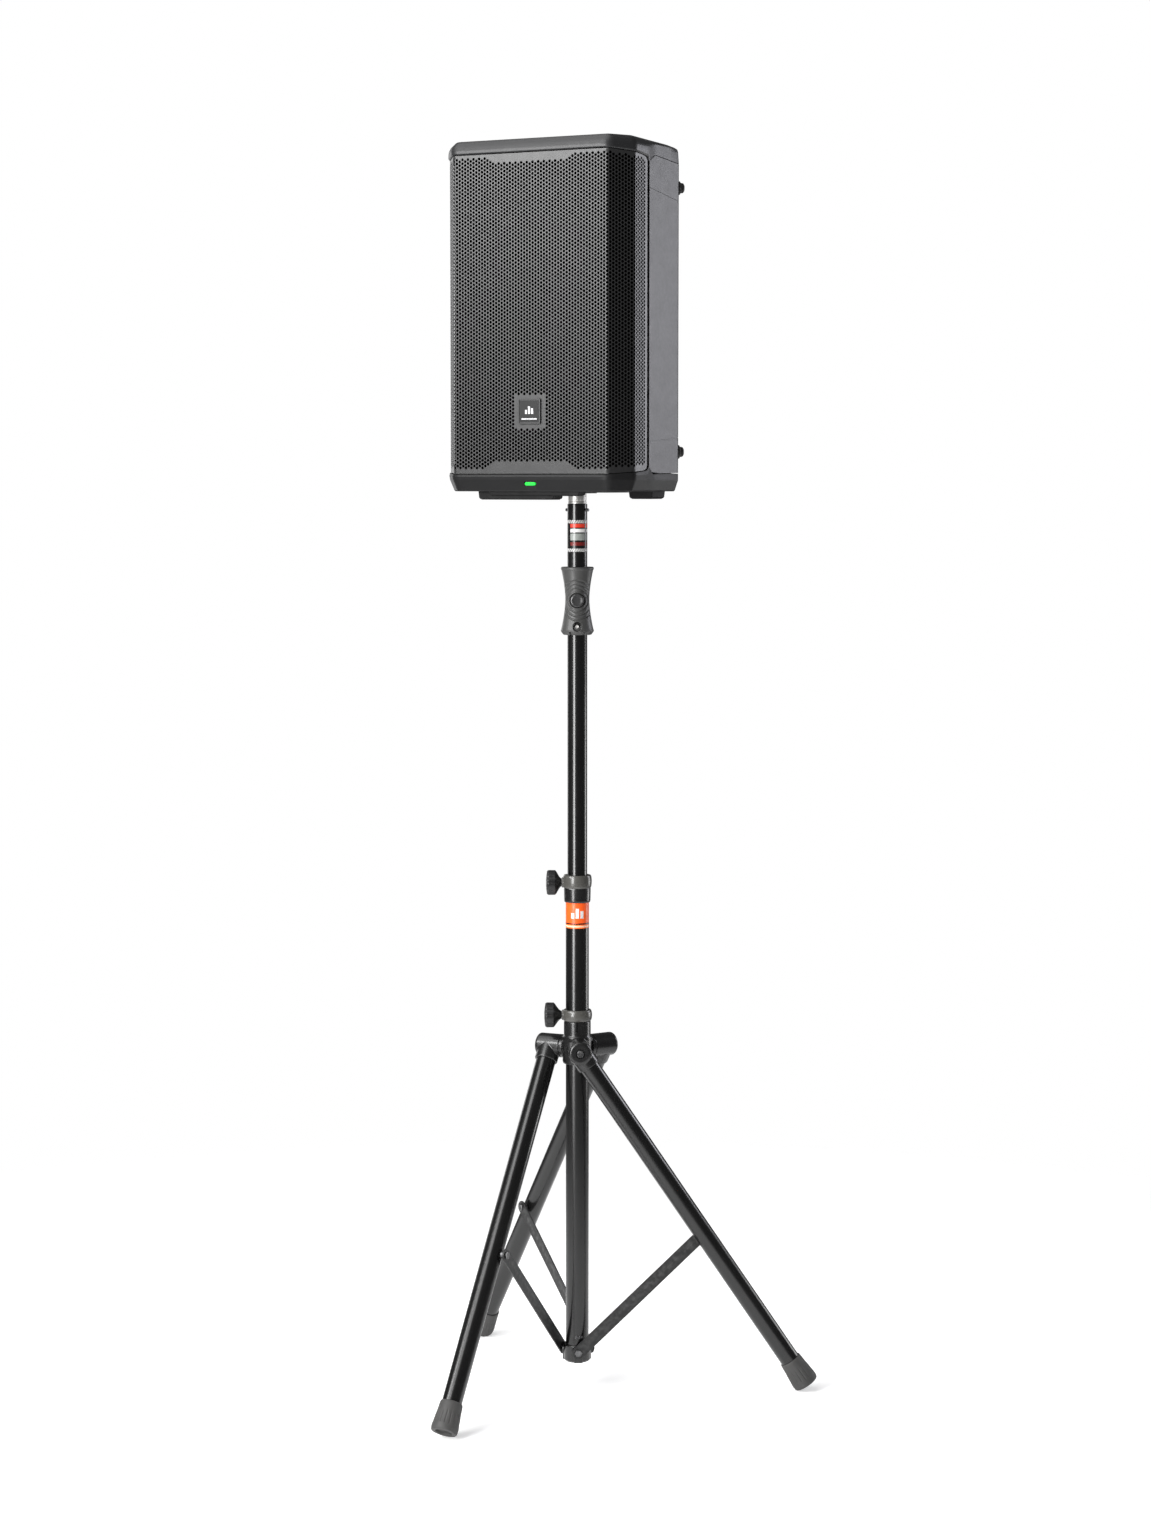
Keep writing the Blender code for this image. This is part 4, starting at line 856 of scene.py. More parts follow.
def grip():
    """Hand grip: rings pressed round the button on its front, a screw pocket and end notches."""
    low, high = GRIP_Z
    bore = POLE_R + RUN / 2
    waist = BUTTON_Z + 0.002
    outer = [(bore, high), (0.03, high), (0.0316, high - 0.0018), (0.0314, high - 0.0046)]
    count = 40
    for i in range(count + 1):
        z = high - 0.0062 + (low + 0.01 - high + 0.0062) * i / count
        outer.append((0.0231 + 0.0083 * (abs(z - waist) / 0.06) ** 1.7, z))
    outer += [(0.0318, low + 0.0086), (0.0314, low + 0.0064), (0.0276, low + 0.0012),
              (0.0264, low), (bore, low)]
    ease = [0.0004, 0.0014, 0.0014, 0.001] + [0] * (count + 1) + [0.001, 0.0012, 0.001, 0.0006,
                                                                  0.0004]
    profile = rounded(outer, ease, 4, closed=True)
    fine = []
    for a, b in zip(profile, profile[1:] + profile[:1]):
        parts = max(1, int(abs(a[1] - b[1]) / 0.0005)) if min(a[0], b[0]) > 0.021 else 1
        fine += [(a[0] + (b[0] - a[0]) * k / parts, a[1] + (b[1] - a[1]) * k / parts)
                 for k in range(parts)]

    def pressed(angle, radius, z):
        if radius < 0.0215:
            return radius
        turn = (angle - math.radians(FRONT_AZIMUTH) + math.pi) % (2 * math.pi) - math.pi
        side = max(0.0, min(1.0, (1.4 - abs(turn)) / 0.3))
        across = abs(math.sin(turn)) * radius if side else 1.0
        reach = math.hypot(across, z - BUTTON_Z)
        depth = 0.0
        for groove in (0.0225, 0.03, 0.0375):
            gap = abs(math.hypot(across * 1.12, z - BUTTON_Z) - groove)
            depth = max(depth, 0.0015 * side * max(0.0, 1 - (gap / 0.002) ** 2))
        if reach < 0.0185:
            lip = max(0.0, 1 - ((reach - 0.0158) / 0.0024) ** 2)
            inside = 1 - min(1.0, max(0.0, (reach - 0.014) / 0.0008))
            radius += 0.0016 * lip
            depth = max(depth * (reach > 0.0165), 0.0034 * inside)
        pocket = math.hypot(abs(turn) * radius, z - SCREW_Z)
        depth = max(depth, 0.0052 * (1 - min(1.0, max(0.0, (pocket - 0.0086) / 0.0006))))
        if z < low + 0.0062:
            notch = math.cos(7 * (angle - math.radians(FRONT_AZIMUTH + 26)))
            depth = max(depth, 0.004 * min(1.0, max(0.0, (notch - 0.72) / 0.1)))
        return max(radius - depth, 0.0205)

    piece(lathe(fine, 360, closed=True, shape=pressed), "grip", GRIP, "pole",
          replaces=("grip",), sharp=55)
    # A gloss black disc in the screw pocket: painted shade for the pocket, with the screw seated on it.
    pocket_seat = spun(FRONT_AZIMUTH, SCREW_Z) @ at(0.0232, 0, 0) @ X_FROM_Z
    shade_disc = rounded([(0.0, 0.0008), (0.0068, 0.0008), (0.0076, 0.0034), (0.0085, 0.0034),
                    (0.0085, -0.002), (0.0, -0.002)], 0.0003, 2)
    piece(lathe(shade_disc, 64), "grip_pocket_shade", GLOSS, "pole", pocket_seat)
    piece(socket_screw(0.0034, 0.0018), "grip_screw", CHROME, "pole",
          pocket_seat @ at(0, 0, 0.0008))
    profile = rounded([(0.0, 0.0264), (0.006, 0.0266), (0.0104, 0.0277), (0.0126, 0.0268),
                       (0.0131, 0.024), (0.0, 0.024)], [0, 0.004, 0.0016, 0.001, 0.0003, 0], 5)
    piece(lathe(profile, 96), "grip_button", BUTTON, "grip_button",
          spun(FRONT_AZIMUTH, BUTTON_Z) @ X_FROM_Z, ("grip_button",), sharp=50)


# --------------------------------------------------------------------------- speaker cabinet
CORNERS = (0.022, 0.017, 0.014, 0.016)


def plan(inset=lambda y: 0.0):
    """The cabinet's eight-sided plan, anticlockwise, inset by a function of the depth."""
    half = [(HALF_FACE, FRONT_Y), (HALF_WIDTH, CHAMFER_Y), (HALF_WIDTH, SIDE_END_Y),
            (HALF_BACK, BACK_Y)]
    outline = [(-half[0][0], half[0][1])] + half + [(-x, y) for x, y in reversed(half[1:])]
    radii = [CORNERS[0], *CORNERS, *reversed(CORNERS[1:])]
    return subdivided(rounded(outline, radii, 5, closed=True), inset)


def subdivided(outline, inset, step=0.0035):
    """Extra points on the long sides, and each point moved inwards along its normal."""
    fine = []
    for a, b in zip(outline, outline[1:] + outline[:1]):
        parts = max(1, int(math.dist(a, b) / step))
        fine += [(a[0] + (b[0] - a[0]) * k / parts, a[1] + (b[1] - a[1]) * k / parts)
                 for k in range(parts)]
    moved_in = []
    for i, point in enumerate(fine):
        along = Vector(fine[(i + 1) % len(fine)]) - Vector(fine[i - 1])
        inward = Vector((-along.y, along.x)).normalized()
        moved_in.append(tuple(Vector(point) + inward * inset(point[1])))
    return moved_in


SHELL_FRONT = GRILLE_BACK_Y + 0.0035
SHEET_BACK_Y = GRILLE_BACK_Y - 0.0048
CORNER_Y = SHEET_BACK_Y - 0.0106       # where the sheet's rounded rear corners begin
TOP_DROP = 0.01
BASE_RISE = 0.0068


def edge_line(y, straight, corner, rear_step, rear):
    """How far a cap's edge moves over the sheet's rear corner, at a depth on the side."""
    if y <= CORNER_Y:
        return straight * max(0.0, (y - FRONT_Y) / (CORNER_Y - FRONT_Y))
    if y <= SHEET_BACK_Y + 0.002:
        part = (y - CORNER_Y) / (SHEET_BACK_Y + 0.002 - CORNER_Y)
        return straight + corner * (1 - math.sqrt(max(0.0, 1 - part * part)))
    if y <= rear_step:
        part = (y - SHEET_BACK_Y - 0.002) / (rear_step - SHEET_BACK_Y - 0.002)
        return (straight + corner) * (1 - part) + rear(rear_step) * part
    return rear(y)


def cap_edge(y):
    """Height of the top cap's lower edge."""
    return SHELL_Z[1] - edge_line(y, TOP_DROP, 0.011, -0.057, lambda y: 0.006 + 0.095 * (y + 0.057))


def base_edge(y):
    """Height of the base cap's upper edge."""
    return SHELL_Z[0] + edge_line(y, BASE_RISE, 0.01, -0.0655,
                                  lambda y: 0.0004 + 0.012 * (y + 0.0655))


def eased(share):
    share = min(1.0, max(0.0, share))
    return share * share * (3 - 2 * share)


def overhang(amount, lean=0.0):
    """An inset that is negative over the grille and fades to flush on the shell."""
    def inset(y):
        flush = 1.0 if amount > 0 else eased((-0.05 - y) / 0.048)
        return amount * flush + lean * eased((y + 0.002) / 0.034)
    return inset


def top_cap():
    low = SHELL_Z[1] + GAP
    section = rounded([(0.006, low), (-0.0012, low), (-0.0034, low + 0.0016),
                       (-0.0035, low + 0.0066), (-0.002, low + 0.0126), (0.0016, low + 0.0196),
                       (0.0085, TOP_Z), (0.02, TOP_Z)],
                      [0, 0.0008, 0.0014, 0.02, 0.02, 0.02, 0.009, 0], 6)
    rings = []
    for amount, z in section:
        share = min(1.0, (z - low) / (TOP_Z - low))
        skirt = max(0.0, 1 - (z - low) / 0.0078)
        rings.append([(x, y, z - TOP_TILT * share * (y - FRONT_Y)
                       - skirt * (SHELL_Z[1] - cap_edge(y)))
                      for x, y in plan(overhang(amount, 0.004 * share))])
    obj = loft(rings)
    carve(obj, slab((-0.0758, -0.0458, low - 0.03), (0.0758, 0.0458, TOP_Z + 0.02), 0.006, 4))
    piece(obj, "top_cap", CABINET, "speaker", replaces=("top_cap",), sharp=30)


def base_cap():
    high = SHELL_Z[0] - GAP
    section = rounded([(0.024, BASE_Z), (0.0085, BASE_Z), (0.0062, BASE_Z + 0.0018),
                       (-0.002, high - 0.01), (-0.0034, high - 0.004), (-0.0022, high),
                       (0.006, high)], [0, 0.001, 0.002, 0.008, 0.003, 0.0008, 0], 6)
    rings = []
    for amount, z in section:
        skirt = max(0.0, 1 - (high - z) / 0.01)
        rings.append([(x, y, z + skirt * (base_edge(y) - SHELL_Z[0]))
                      for x, y in plan(overhang(amount))])
    obj = loft(rings)
    carve(obj, rod(0.0236, BASE_Z - 0.02, BASE_Z + 0.06, edge=0.0),
          slab((-0.0128, FRONT_Y - 0.02, 1.7558), (0.0128, FRONT_Y + 0.0042, 1.7638), 0.0))
    piece(obj, "base_cap", BASE_MATTE_AND_SHADE, "speaker", replaces=("base_cap",), sharp=30)
    plate = slab((-0.095, -0.05, 1.743), (0.095, 0.05, BASE_Z + 0.001), 0.0008)
    piece(carve(plate, rod(0.0385, 1.7, 1.8, edge=0.0)), "base_plate", PLASTIC, "speaker")
    feet = [("front_rail", -0.099, 0.099, -0.164, -0.138, 1.737),
            ("front_skid", -0.124, 0.042, -0.16, -0.125, 1.73),
            ("rear_foot_right", 0.112, 0.164, 0.0, 0.05, 1.731),
            ("rear_foot_left", -0.164, -0.112, 0.0, 0.05, 1.731)]
    for name, x0, x1, y0, y1, z in feet:
        top = BASE_Z + 0.001
        slope = 0.004
        half = [(x0, top), (x0 + slope * 0.4, z + 0.004), (x0 + slope, z + 0.0012),
                (x1 - slope, z + 0.0012), (x1 - slope * 0.4, z + 0.004), (x1, top)]
        body = moved(prism(rounded(half, 0.0015, 3, closed=True), y0, y1, 0.0012),
                     Matrix.Rotation(math.pi / 2, 4, "X") @ Matrix.Scale(-1, 4, (0, 0, 1)))
        piece(body, name, RAIL, "speaker", sharp=30)
        pad = slab((x0 + slope + 0.001, y0 + 0.003, z), (x1 - slope - 0.001, y1 - 0.003, z + 0.0022),
                   0.0008)
        piece(pad, f"{name}_pad", RAIL, "speaker")


def seam(heights, depth=0.0009, width=0.0014):
    """A groove tool round the shell at heights given by how far back a point lies."""
    rings = []
    for inset, lift in ((-0.004, -0.5), (-0.004, 0.5), (depth, 0.5), (depth, -0.5)):
        rings.append([(x, y, heights(y) + lift * width) for x, y in shell_outline(inset)])
    rings.append(rings[0])
    count = len(rings[0])
    verts = [point for ring in rings[:4] for point in ring]
    faces = []
    for r in range(4):
        for i in range(count):
            j = (i + 1) % count
            s = (r + 1) % 4
            faces.append((r * count + i, r * count + j, s * count + j, s * count + i))
    return mesh_object(verts, faces)


def shell_outline(inset=0.0, front=SHELL_FRONT, corner=0.014):
    outline = [(-HALF_WIDTH, front), (HALF_WIDTH, front), (HALF_WIDTH, SIDE_END_Y),
               (HALF_BACK, BACK_Y), (-HALF_BACK, BACK_Y), (-HALF_WIDTH, SIDE_END_Y)]
    radii = [0, 0, corner, corner, corner, corner]
    return subdivided(rounded(outline, radii, 6, closed=True), lambda y: inset)


def cabinet_shell():
    low, high = SHELL_Z[0] + GAP, SHELL_Z[1] - GAP
    plain = shell_outline()
    obj = loft([[(x, y, base_edge(y) + 0.0011) for x, y in plain],
                [(x, y, cap_edge(y) - 0.0011) for x, y in plain]])
    wall = 0.006
    inner = offset([(-HALF_WIDTH, -0.12), (HALF_WIDTH, -0.12), (HALF_WIDTH, SIDE_END_Y),
                    (HALF_BACK, BACK_Y), (-HALF_BACK, BACK_Y), (-HALF_WIDTH, SIDE_END_Y)], wall)
    carve(obj, prism(inner, low + wall, high - wall),
          slab((-HALF_PANEL, 0.12, PANEL_Z[0]), (HALF_PANEL, 0.19, PANEL_Z[1]), 0.0),
          slab((-0.0758, -0.0458, high - 0.02), (0.0758, 0.0458, high + 0.02), 0.0),
          rod(0.0236, low - 0.02, low + 0.02, edge=0.0),
          seam(lambda y: 2.306 - 0.16 * (y - SHELL_FRONT)),
          seam(lambda y: 1.839 + 0.067 * (y - SHELL_FRONT)))
    piece(obj, "cabinet_shell", CABINET, "speaker",
          replaces=("cabinet_shell",), sharp=25)
    side = math.atan2(BACK_Y - SIDE_END_Y, HALF_WIDTH - HALF_BACK)
    number = 0
    for sign in (-1, 1):
        for height in (1.82, 2.3145):
            number += 1
            profile = rounded([(0.0, 0.0128), (0.006, 0.0128), (0.0092, 0.0108), (0.0098, 0.0052),
                               (0.0128, 0.0044), (0.013, -0.002), (0.0, -0.002)],
                              [0, 0.002, 0.003, 0.0015, 0.0012, 0.0004, 0], 4)
            where = at(sign * (HALF_WIDTH - 0.011), SIDE_END_Y + 0.0134, height)
            turn = Matrix.Rotation(math.pi / 2 - sign * side, 4, "Z") @ X_FROM_Z
            piece(lathe(profile, 64), f"rear_bumper_{number}", RUBBER, "speaker",
                  where @ turn)


# ------------------------------------------------------------------------- speaker, grille
PITCH = 0.00705                        # hole to hole up a column
COLUMN_STEP = PITCH * math.sqrt(3) / 2  # column to column
HOLE_R = 0.00308                       # corner radius of a hexagonal hole
SHEET = 0.0006
SHEET_Z = (SHELL_Z[0] + 0.0012, SHELL_Z[1] - 0.0012)
BEND_R = 0.006
FRONT_COLUMNS = 26                     # columns each side of the middle on the front piece
BADGE_Z = 1.8945


def grille_path():
    """Half the bent sheet seen from above, from the middle of the front to its rear edge."""
    points = rounded([(0.0, FRONT_Y), (HALF_FACE, FRONT_Y), (HALF_WIDTH, CHAMFER_Y),
                      (HALF_WIDTH, SHEET_BACK_Y)], BEND_R, 8)
    lengths = [0.0]
    for a, b in zip(points, points[1:]):
        lengths.append(lengths[-1] + math.dist(a, b))
    return points, lengths


def grille_holes(u, z, sheet_end):
    """True where the sheet has a hole: everywhere but the borders and the two long notches."""
    across = abs(u)
    notch = max(0.0, min(1.0, (0.0965 - across) / 0.019))
    behind = max(0.0, min(1.0, (across - HALF_FACE) / (sheet_end - HALF_FACE)))
    low = SHELL_Z[0] + 0.0119 + 0.011 * notch + BASE_RISE * behind
    high = SHELL_Z[1] - 0.0078 - 0.0112 * notch - TOP_DROP * behind
    if not low < z < high or across > sheet_end - 0.0098:
        return False
    if across < 0.0315 and abs(z - BADGE_Z) < 0.031:
        return False
    near = across - (sheet_end - 0.0145)
    if near > 0 and min(z - low, high - z) < near * 0.75:
        return False
    return True


def grille_sheet(first, last, sheet_end):
    """Hexagonal cells on the unrolled sheet, columns first to last, with or without holes."""
    bm = bmesh.new()
    corner = PITCH / math.sqrt(3)
    middle = (SHEET_Z[0] + SHEET_Z[1]) / 2
    rows = int((SHEET_Z[1] - SHEET_Z[0]) / PITCH / 2) + 2
    hexagon = ((2, 0), (1, 1), (-1, 1), (-2, 0), (-1, -1), (1, -1))
    known = {}

    def vertex(i, j):
        if (i, j) not in known:
            known[i, j] = bm.verts.new((i * corner / 2, 0.0, middle + j * PITCH / 2))
        return known[i, j]

    for number in range(first, last + 1):
        for row in range(-rows, rows + 1):
            across, up = 3 * number, 2 * row + number % 2
            outer = [vertex(across + i, up + j) for i, j in hexagon]
            u, z = across * corner / 2, middle + up * PITCH / 2
            if not grille_holes(u, z, sheet_end):
                bm.faces.new(outer)
                continue
            inner = [bm.verts.new((u + HOLE_R * math.cos(math.radians(60 * i)), 0.0,
                                   z + HOLE_R * math.sin(math.radians(60 * i)))) for i in range(6)]
            for i in range(6):
                j = (i + 1) % 6
                bm.faces.new((outer[i], outer[j], inner[j], inner[i]))
    return bm


def trim(bm, point, outward):
    """Cut the unrolled sheet along a line and drop what lies beyond it."""
    everything = bm.verts[:] + bm.edges[:] + bm.faces[:]
    bmesh.ops.bisect_plane(bm, geom=everything, plane_co=point, plane_no=outward, clear_outer=True)


def grille():
    points, lengths = grille_path()
    end = lengths[-1]
    last = int(end / COLUMN_STEP) + 2
    pieces = (("grille_front", -FRONT_COLUMNS, FRONT_COLUMNS),
              ("grille_side_right", FRONT_COLUMNS + 1, last),
              ("grille_side_left", -last, -FRONT_COLUMNS - 1))
    for name, first, final in pieces:
        bm = grille_sheet(first, final, end)
        for z, up in zip(SHEET_Z, (-1, 1)):
            trim(bm, (0, 0, z), (0, 0, up))
        side = 0 if name == "grille_front" else math.copysign(1, first)
        if side:
            trim(bm, (side * end, 0, 0), (side, 0, 0))
            for z, up, move, arc in ((SHEET_Z[1], 1, TOP_DROP, 0.0115),
                                     (SHEET_Z[0], -1, BASE_RISE, 0.01)):
                slope = Vector((side * move, 0, up * (end - HALF_FACE))).normalized()
                trim(bm, Vector((side * HALF_FACE, 0, z)), slope)
                for k in range(1, 8):
                    a = math.pi / 2 * k / 8
                    away = Vector((side * math.cos(a), 0, up * math.sin(a)))
                    center = Vector((side * (end - arc), 0, z - up * (move + arc)))
                    trim(bm, center + away * arc, away)
        mesh = bpy.data.meshes.new(name)
        bm.to_mesh(mesh)
        bm.free()
        flat = np.zeros(len(mesh.vertices) * 3)
        mesh.vertices.foreach_get("co", flat)
        flat = flat.reshape(-1, 3)
        across = np.abs(flat[:, 0])
        flat[:, 1] = np.interp(across, lengths, [p[1] for p in points])
        flat[:, 0] = np.interp(across, lengths, [p[0] for p in points]) * np.sign(flat[:, 0])
        mesh.vertices.foreach_set("co", flat.ravel())
        bm = bmesh.new()
        bm.from_mesh(mesh)
        bmesh.ops.recalc_face_normals(bm, faces=bm.faces)
        bm.faces.ensure_lookup_table()
        outward = Vector((side * 0.5, -1.0, 0.0))
        if sum(f.normal.dot(outward) * f.calc_area() for f in bm.faces) < 0:
            bmesh.ops.reverse_faces(bm, faces=bm.faces)
        bm.to_mesh(mesh)
        bm.free()
        obj = bpy.data.objects.new(name, mesh)
        bpy.context.scene.collection.objects.link(obj)
        thick = obj.modifiers.new("sheet", "SOLIDIFY")
        thick.thickness = SHEET
        thick.offset = -1.0
        thick.use_even_offset = True
        piece(applied(obj), name, GRILLE, "speaker", sharp=35, weighted=False,
              replaces=("grille",) if name == "grille_front" else ())


def badge():
    """Square badge on the grille with a recessed ring and a plain three-bar mark."""
    z = BADGE_Z
    front = FRONT_Y - 0.0034
    frame_plate = moved(prism(rounded([(-0.024, -0.024), (0.024, -0.024), (0.024, 0.024),
                                       (-0.024, 0.024)], 0.003, 4, closed=True), 0.0, 0.0031,
                              0.0007), Matrix.Rotation(math.pi / 2, 4, "X"))
    moved(frame_plate, at(0, FRONT_Y - GAP, z))
    carve(frame_plate, slab((-0.0212, front - 0.002, z - 0.0212), (0.0212, front + 0.001, z + 0.0212),
                            0.0))
    piece(frame_plate, "grille_badge", PLASTIC, "speaker",
          replaces=("grille_badge",), sharp=30)
    face = slab((-0.02, front + 0.0003, z - 0.02), (0.02, front + 0.0016, z + 0.02), 0.0003)
    piece(face, "badge_face", BADGE_FACE, "speaker")
    bars = []
    for i, share in enumerate((0.55, 1.0, 0.75)):
        x = (i - 1) * 0.0066
        bars.append(slab((x - 0.0022, front + 0.0001, z - 0.005),
                         (x + 0.0022, front + 0.0006, z - 0.005 + 0.014 * share), 0.0001, 1))
    bars.append(slab((-0.0165, front + 0.0001, z - 0.0155), (0.0165, front + 0.0006, z - 0.013),
                     0.0001, 1))
    piece(gathered(*bars), "badge_mark", BADGE_MARK, "speaker")


def power_led():
    outline = []
    half, r = 0.0083, 0.0031
    for center, start in ((half, -math.pi / 2), (-half, math.pi / 2)):
        for i in range(13):
            angle = start + math.pi * i / 12
            outline.append((center + r * math.cos(angle), r * math.sin(angle)))
    lens = moved(prism(outline, 0.0, 0.004, 0.0006), Matrix.Rotation(math.pi / 2, 4, "X"))
    piece(lens, "power_led", LED, "speaker",
          at(0, FRONT_Y + 0.0038, 1.7598), ("power_led",), sharp=30)


def pole_cup():
    bore = SPIGOT_R + RUN
    low = BASE_Z - 0.004
    top, floor = SPIGOT_TOP + 0.006, SPIGOT_TOP + GAP
    profile = rounded([(0.0, top), (0.023, top), (0.023, BASE_Z - GAP), (0.038, BASE_Z - GAP),
                       (0.0372, low), (bore + 0.0026, low), (bore, low + 0.0034), (bore, floor),
                       (0.0, floor)], 0.0006, 3)
    piece(lathe(profile, 96), "pole_cup", PLASTIC, "speaker",
          replaces=("pole_cup",))


def top_handle():
    high = TOP_Z - 0.0075
    low = high - 0.052
    cup = slab((-0.075, -0.045, low), (0.075, 0.045, high), 0.005, 4)
    carve(cup, slab((-0.0722, -0.0422, low + 0.003), (0.0722, 0.0422, high + 0.02), 0.006, 4))
    piece(cup, "top_handle", PLASTIC, "speaker", replaces=("top_handle",),
          sharp=30)
    profile = [(0.0, 0.0735), (0.01, 0.0735)]
    ribs = 30
    for i in range(ribs * 4 + 1):
        z = 0.066 - 0.132 * i / (ribs * 4)
        profile.append((0.0113 - 0.0005 * (i % 4 == 2), z))
    profile += [(0.01, -0.0735), (0.0, -0.0735)]
    bar = moved(lathe(profile, 64), X_FROM_Z)
    piece(bar, "handle_bar", DARK_RUBBER, "speaker",
          at(0, 0, high - 0.0125), sharp=50)


# ------------------------------------------------------------------- speaker, rear amplifier
def amp_panel():
    gap = 0.0005
    half = HALF_PANEL - gap
    low, high = PANEL_Z[0] + gap, PANEL_Z[1] - gap
    panel = slab((-half, PANEL_FACE - 0.004, low), (half, PANEL_FACE, high), 0.0008)
    reach = (PANEL_FACE - 0.01, PANEL_FACE + 0.01)
    carve(panel, slab((-0.0265, reach[0], DISPLAY_Z - 0.0205), (0.0265, reach[1], DISPLAY_Z + 0.0205),
                      0.0),
          moved(rod(0.0034, *reach, "Y", edge=0.0), at(0, 0, ENCODER_Z)))
    for sign in (-1, 1):
        carve(panel, moved(rod(0.0034, *reach, "Y", edge=0.0),
                           at(sign * SIDE_X, 0, GAIN_Z)),
              moved(rod(0.0125, *reach, "Y", edge=0.0), at(sign * SIDE_X, 0, JACK_Z)))
    carve(panel, slab((SIDE_X - 0.0155, reach[0], POWER_Z - 0.0125),
                      (SIDE_X + 0.0155, reach[1], POWER_Z + 0.0125), 0.0),
          slab((-SIDE_X - 0.0105, reach[0], POWER_Z - 0.0145),
               (-SIDE_X + 0.0105, reach[1], POWER_Z + 0.0145), 0.0))
    fins = [slab((x - 0.0015, PANEL_FACE - 0.001, 1.93), (x + 0.0015, PANEL_FACE + 0.009, 2.04),
                 0.0006) for x in (-0.064 + 0.016 * i for i in range(9))]
    piece(gathered(panel, *fins), "amp_panel", PANEL, "speaker",
          replaces=("amp_panel",), sharp=30)
    seats = [(x, z) for x in (-0.0755, 0.0755) for z in (1.847, 1.995, 2.145, 2.293)]
    seats += [(sign * SIDE_X + dx, JACK_Z + dz) for sign in (-1, 1)
              for dx, dz in ((-0.012, 0.0125), (0.012, -0.0125))]
    screws = [moved(socket_screw(0.003, 0.0013), at(x, PANEL_FACE, z) @ Y_FROM_Z)
              for x, z in seats]
    piece(gathered(*screws), "panel_screws", ZINC, "speaker")
    ticks = []
    for sign in (-1, 1):
        for k in range(11):
            a = math.radians(-140 + 28 * k)
            tick = slab((-0.0003, 0.0, 0.0098),
                        (0.0003, 0.00015, 0.0118 + 0.0008 * (k % 5 == 0)), 0.0)
            ticks.append(moved(tick, at(sign * SIDE_X, PANEL_FACE, GAIN_Z)
                               @ Matrix.Rotation(a, 4, "Y")))
    ticks.append(slab((-0.06, PANEL_FACE, 2.16), (0.06, PANEL_FACE + 0.00015, 2.1606), 0.0))
    ticks.append(slab((-0.06, PANEL_FACE, 2.052), (0.06, PANEL_FACE + 0.00015, 2.0526), 0.0))
    piece(gathered(*ticks), "panel_print", FILM_WHITE, "speaker")


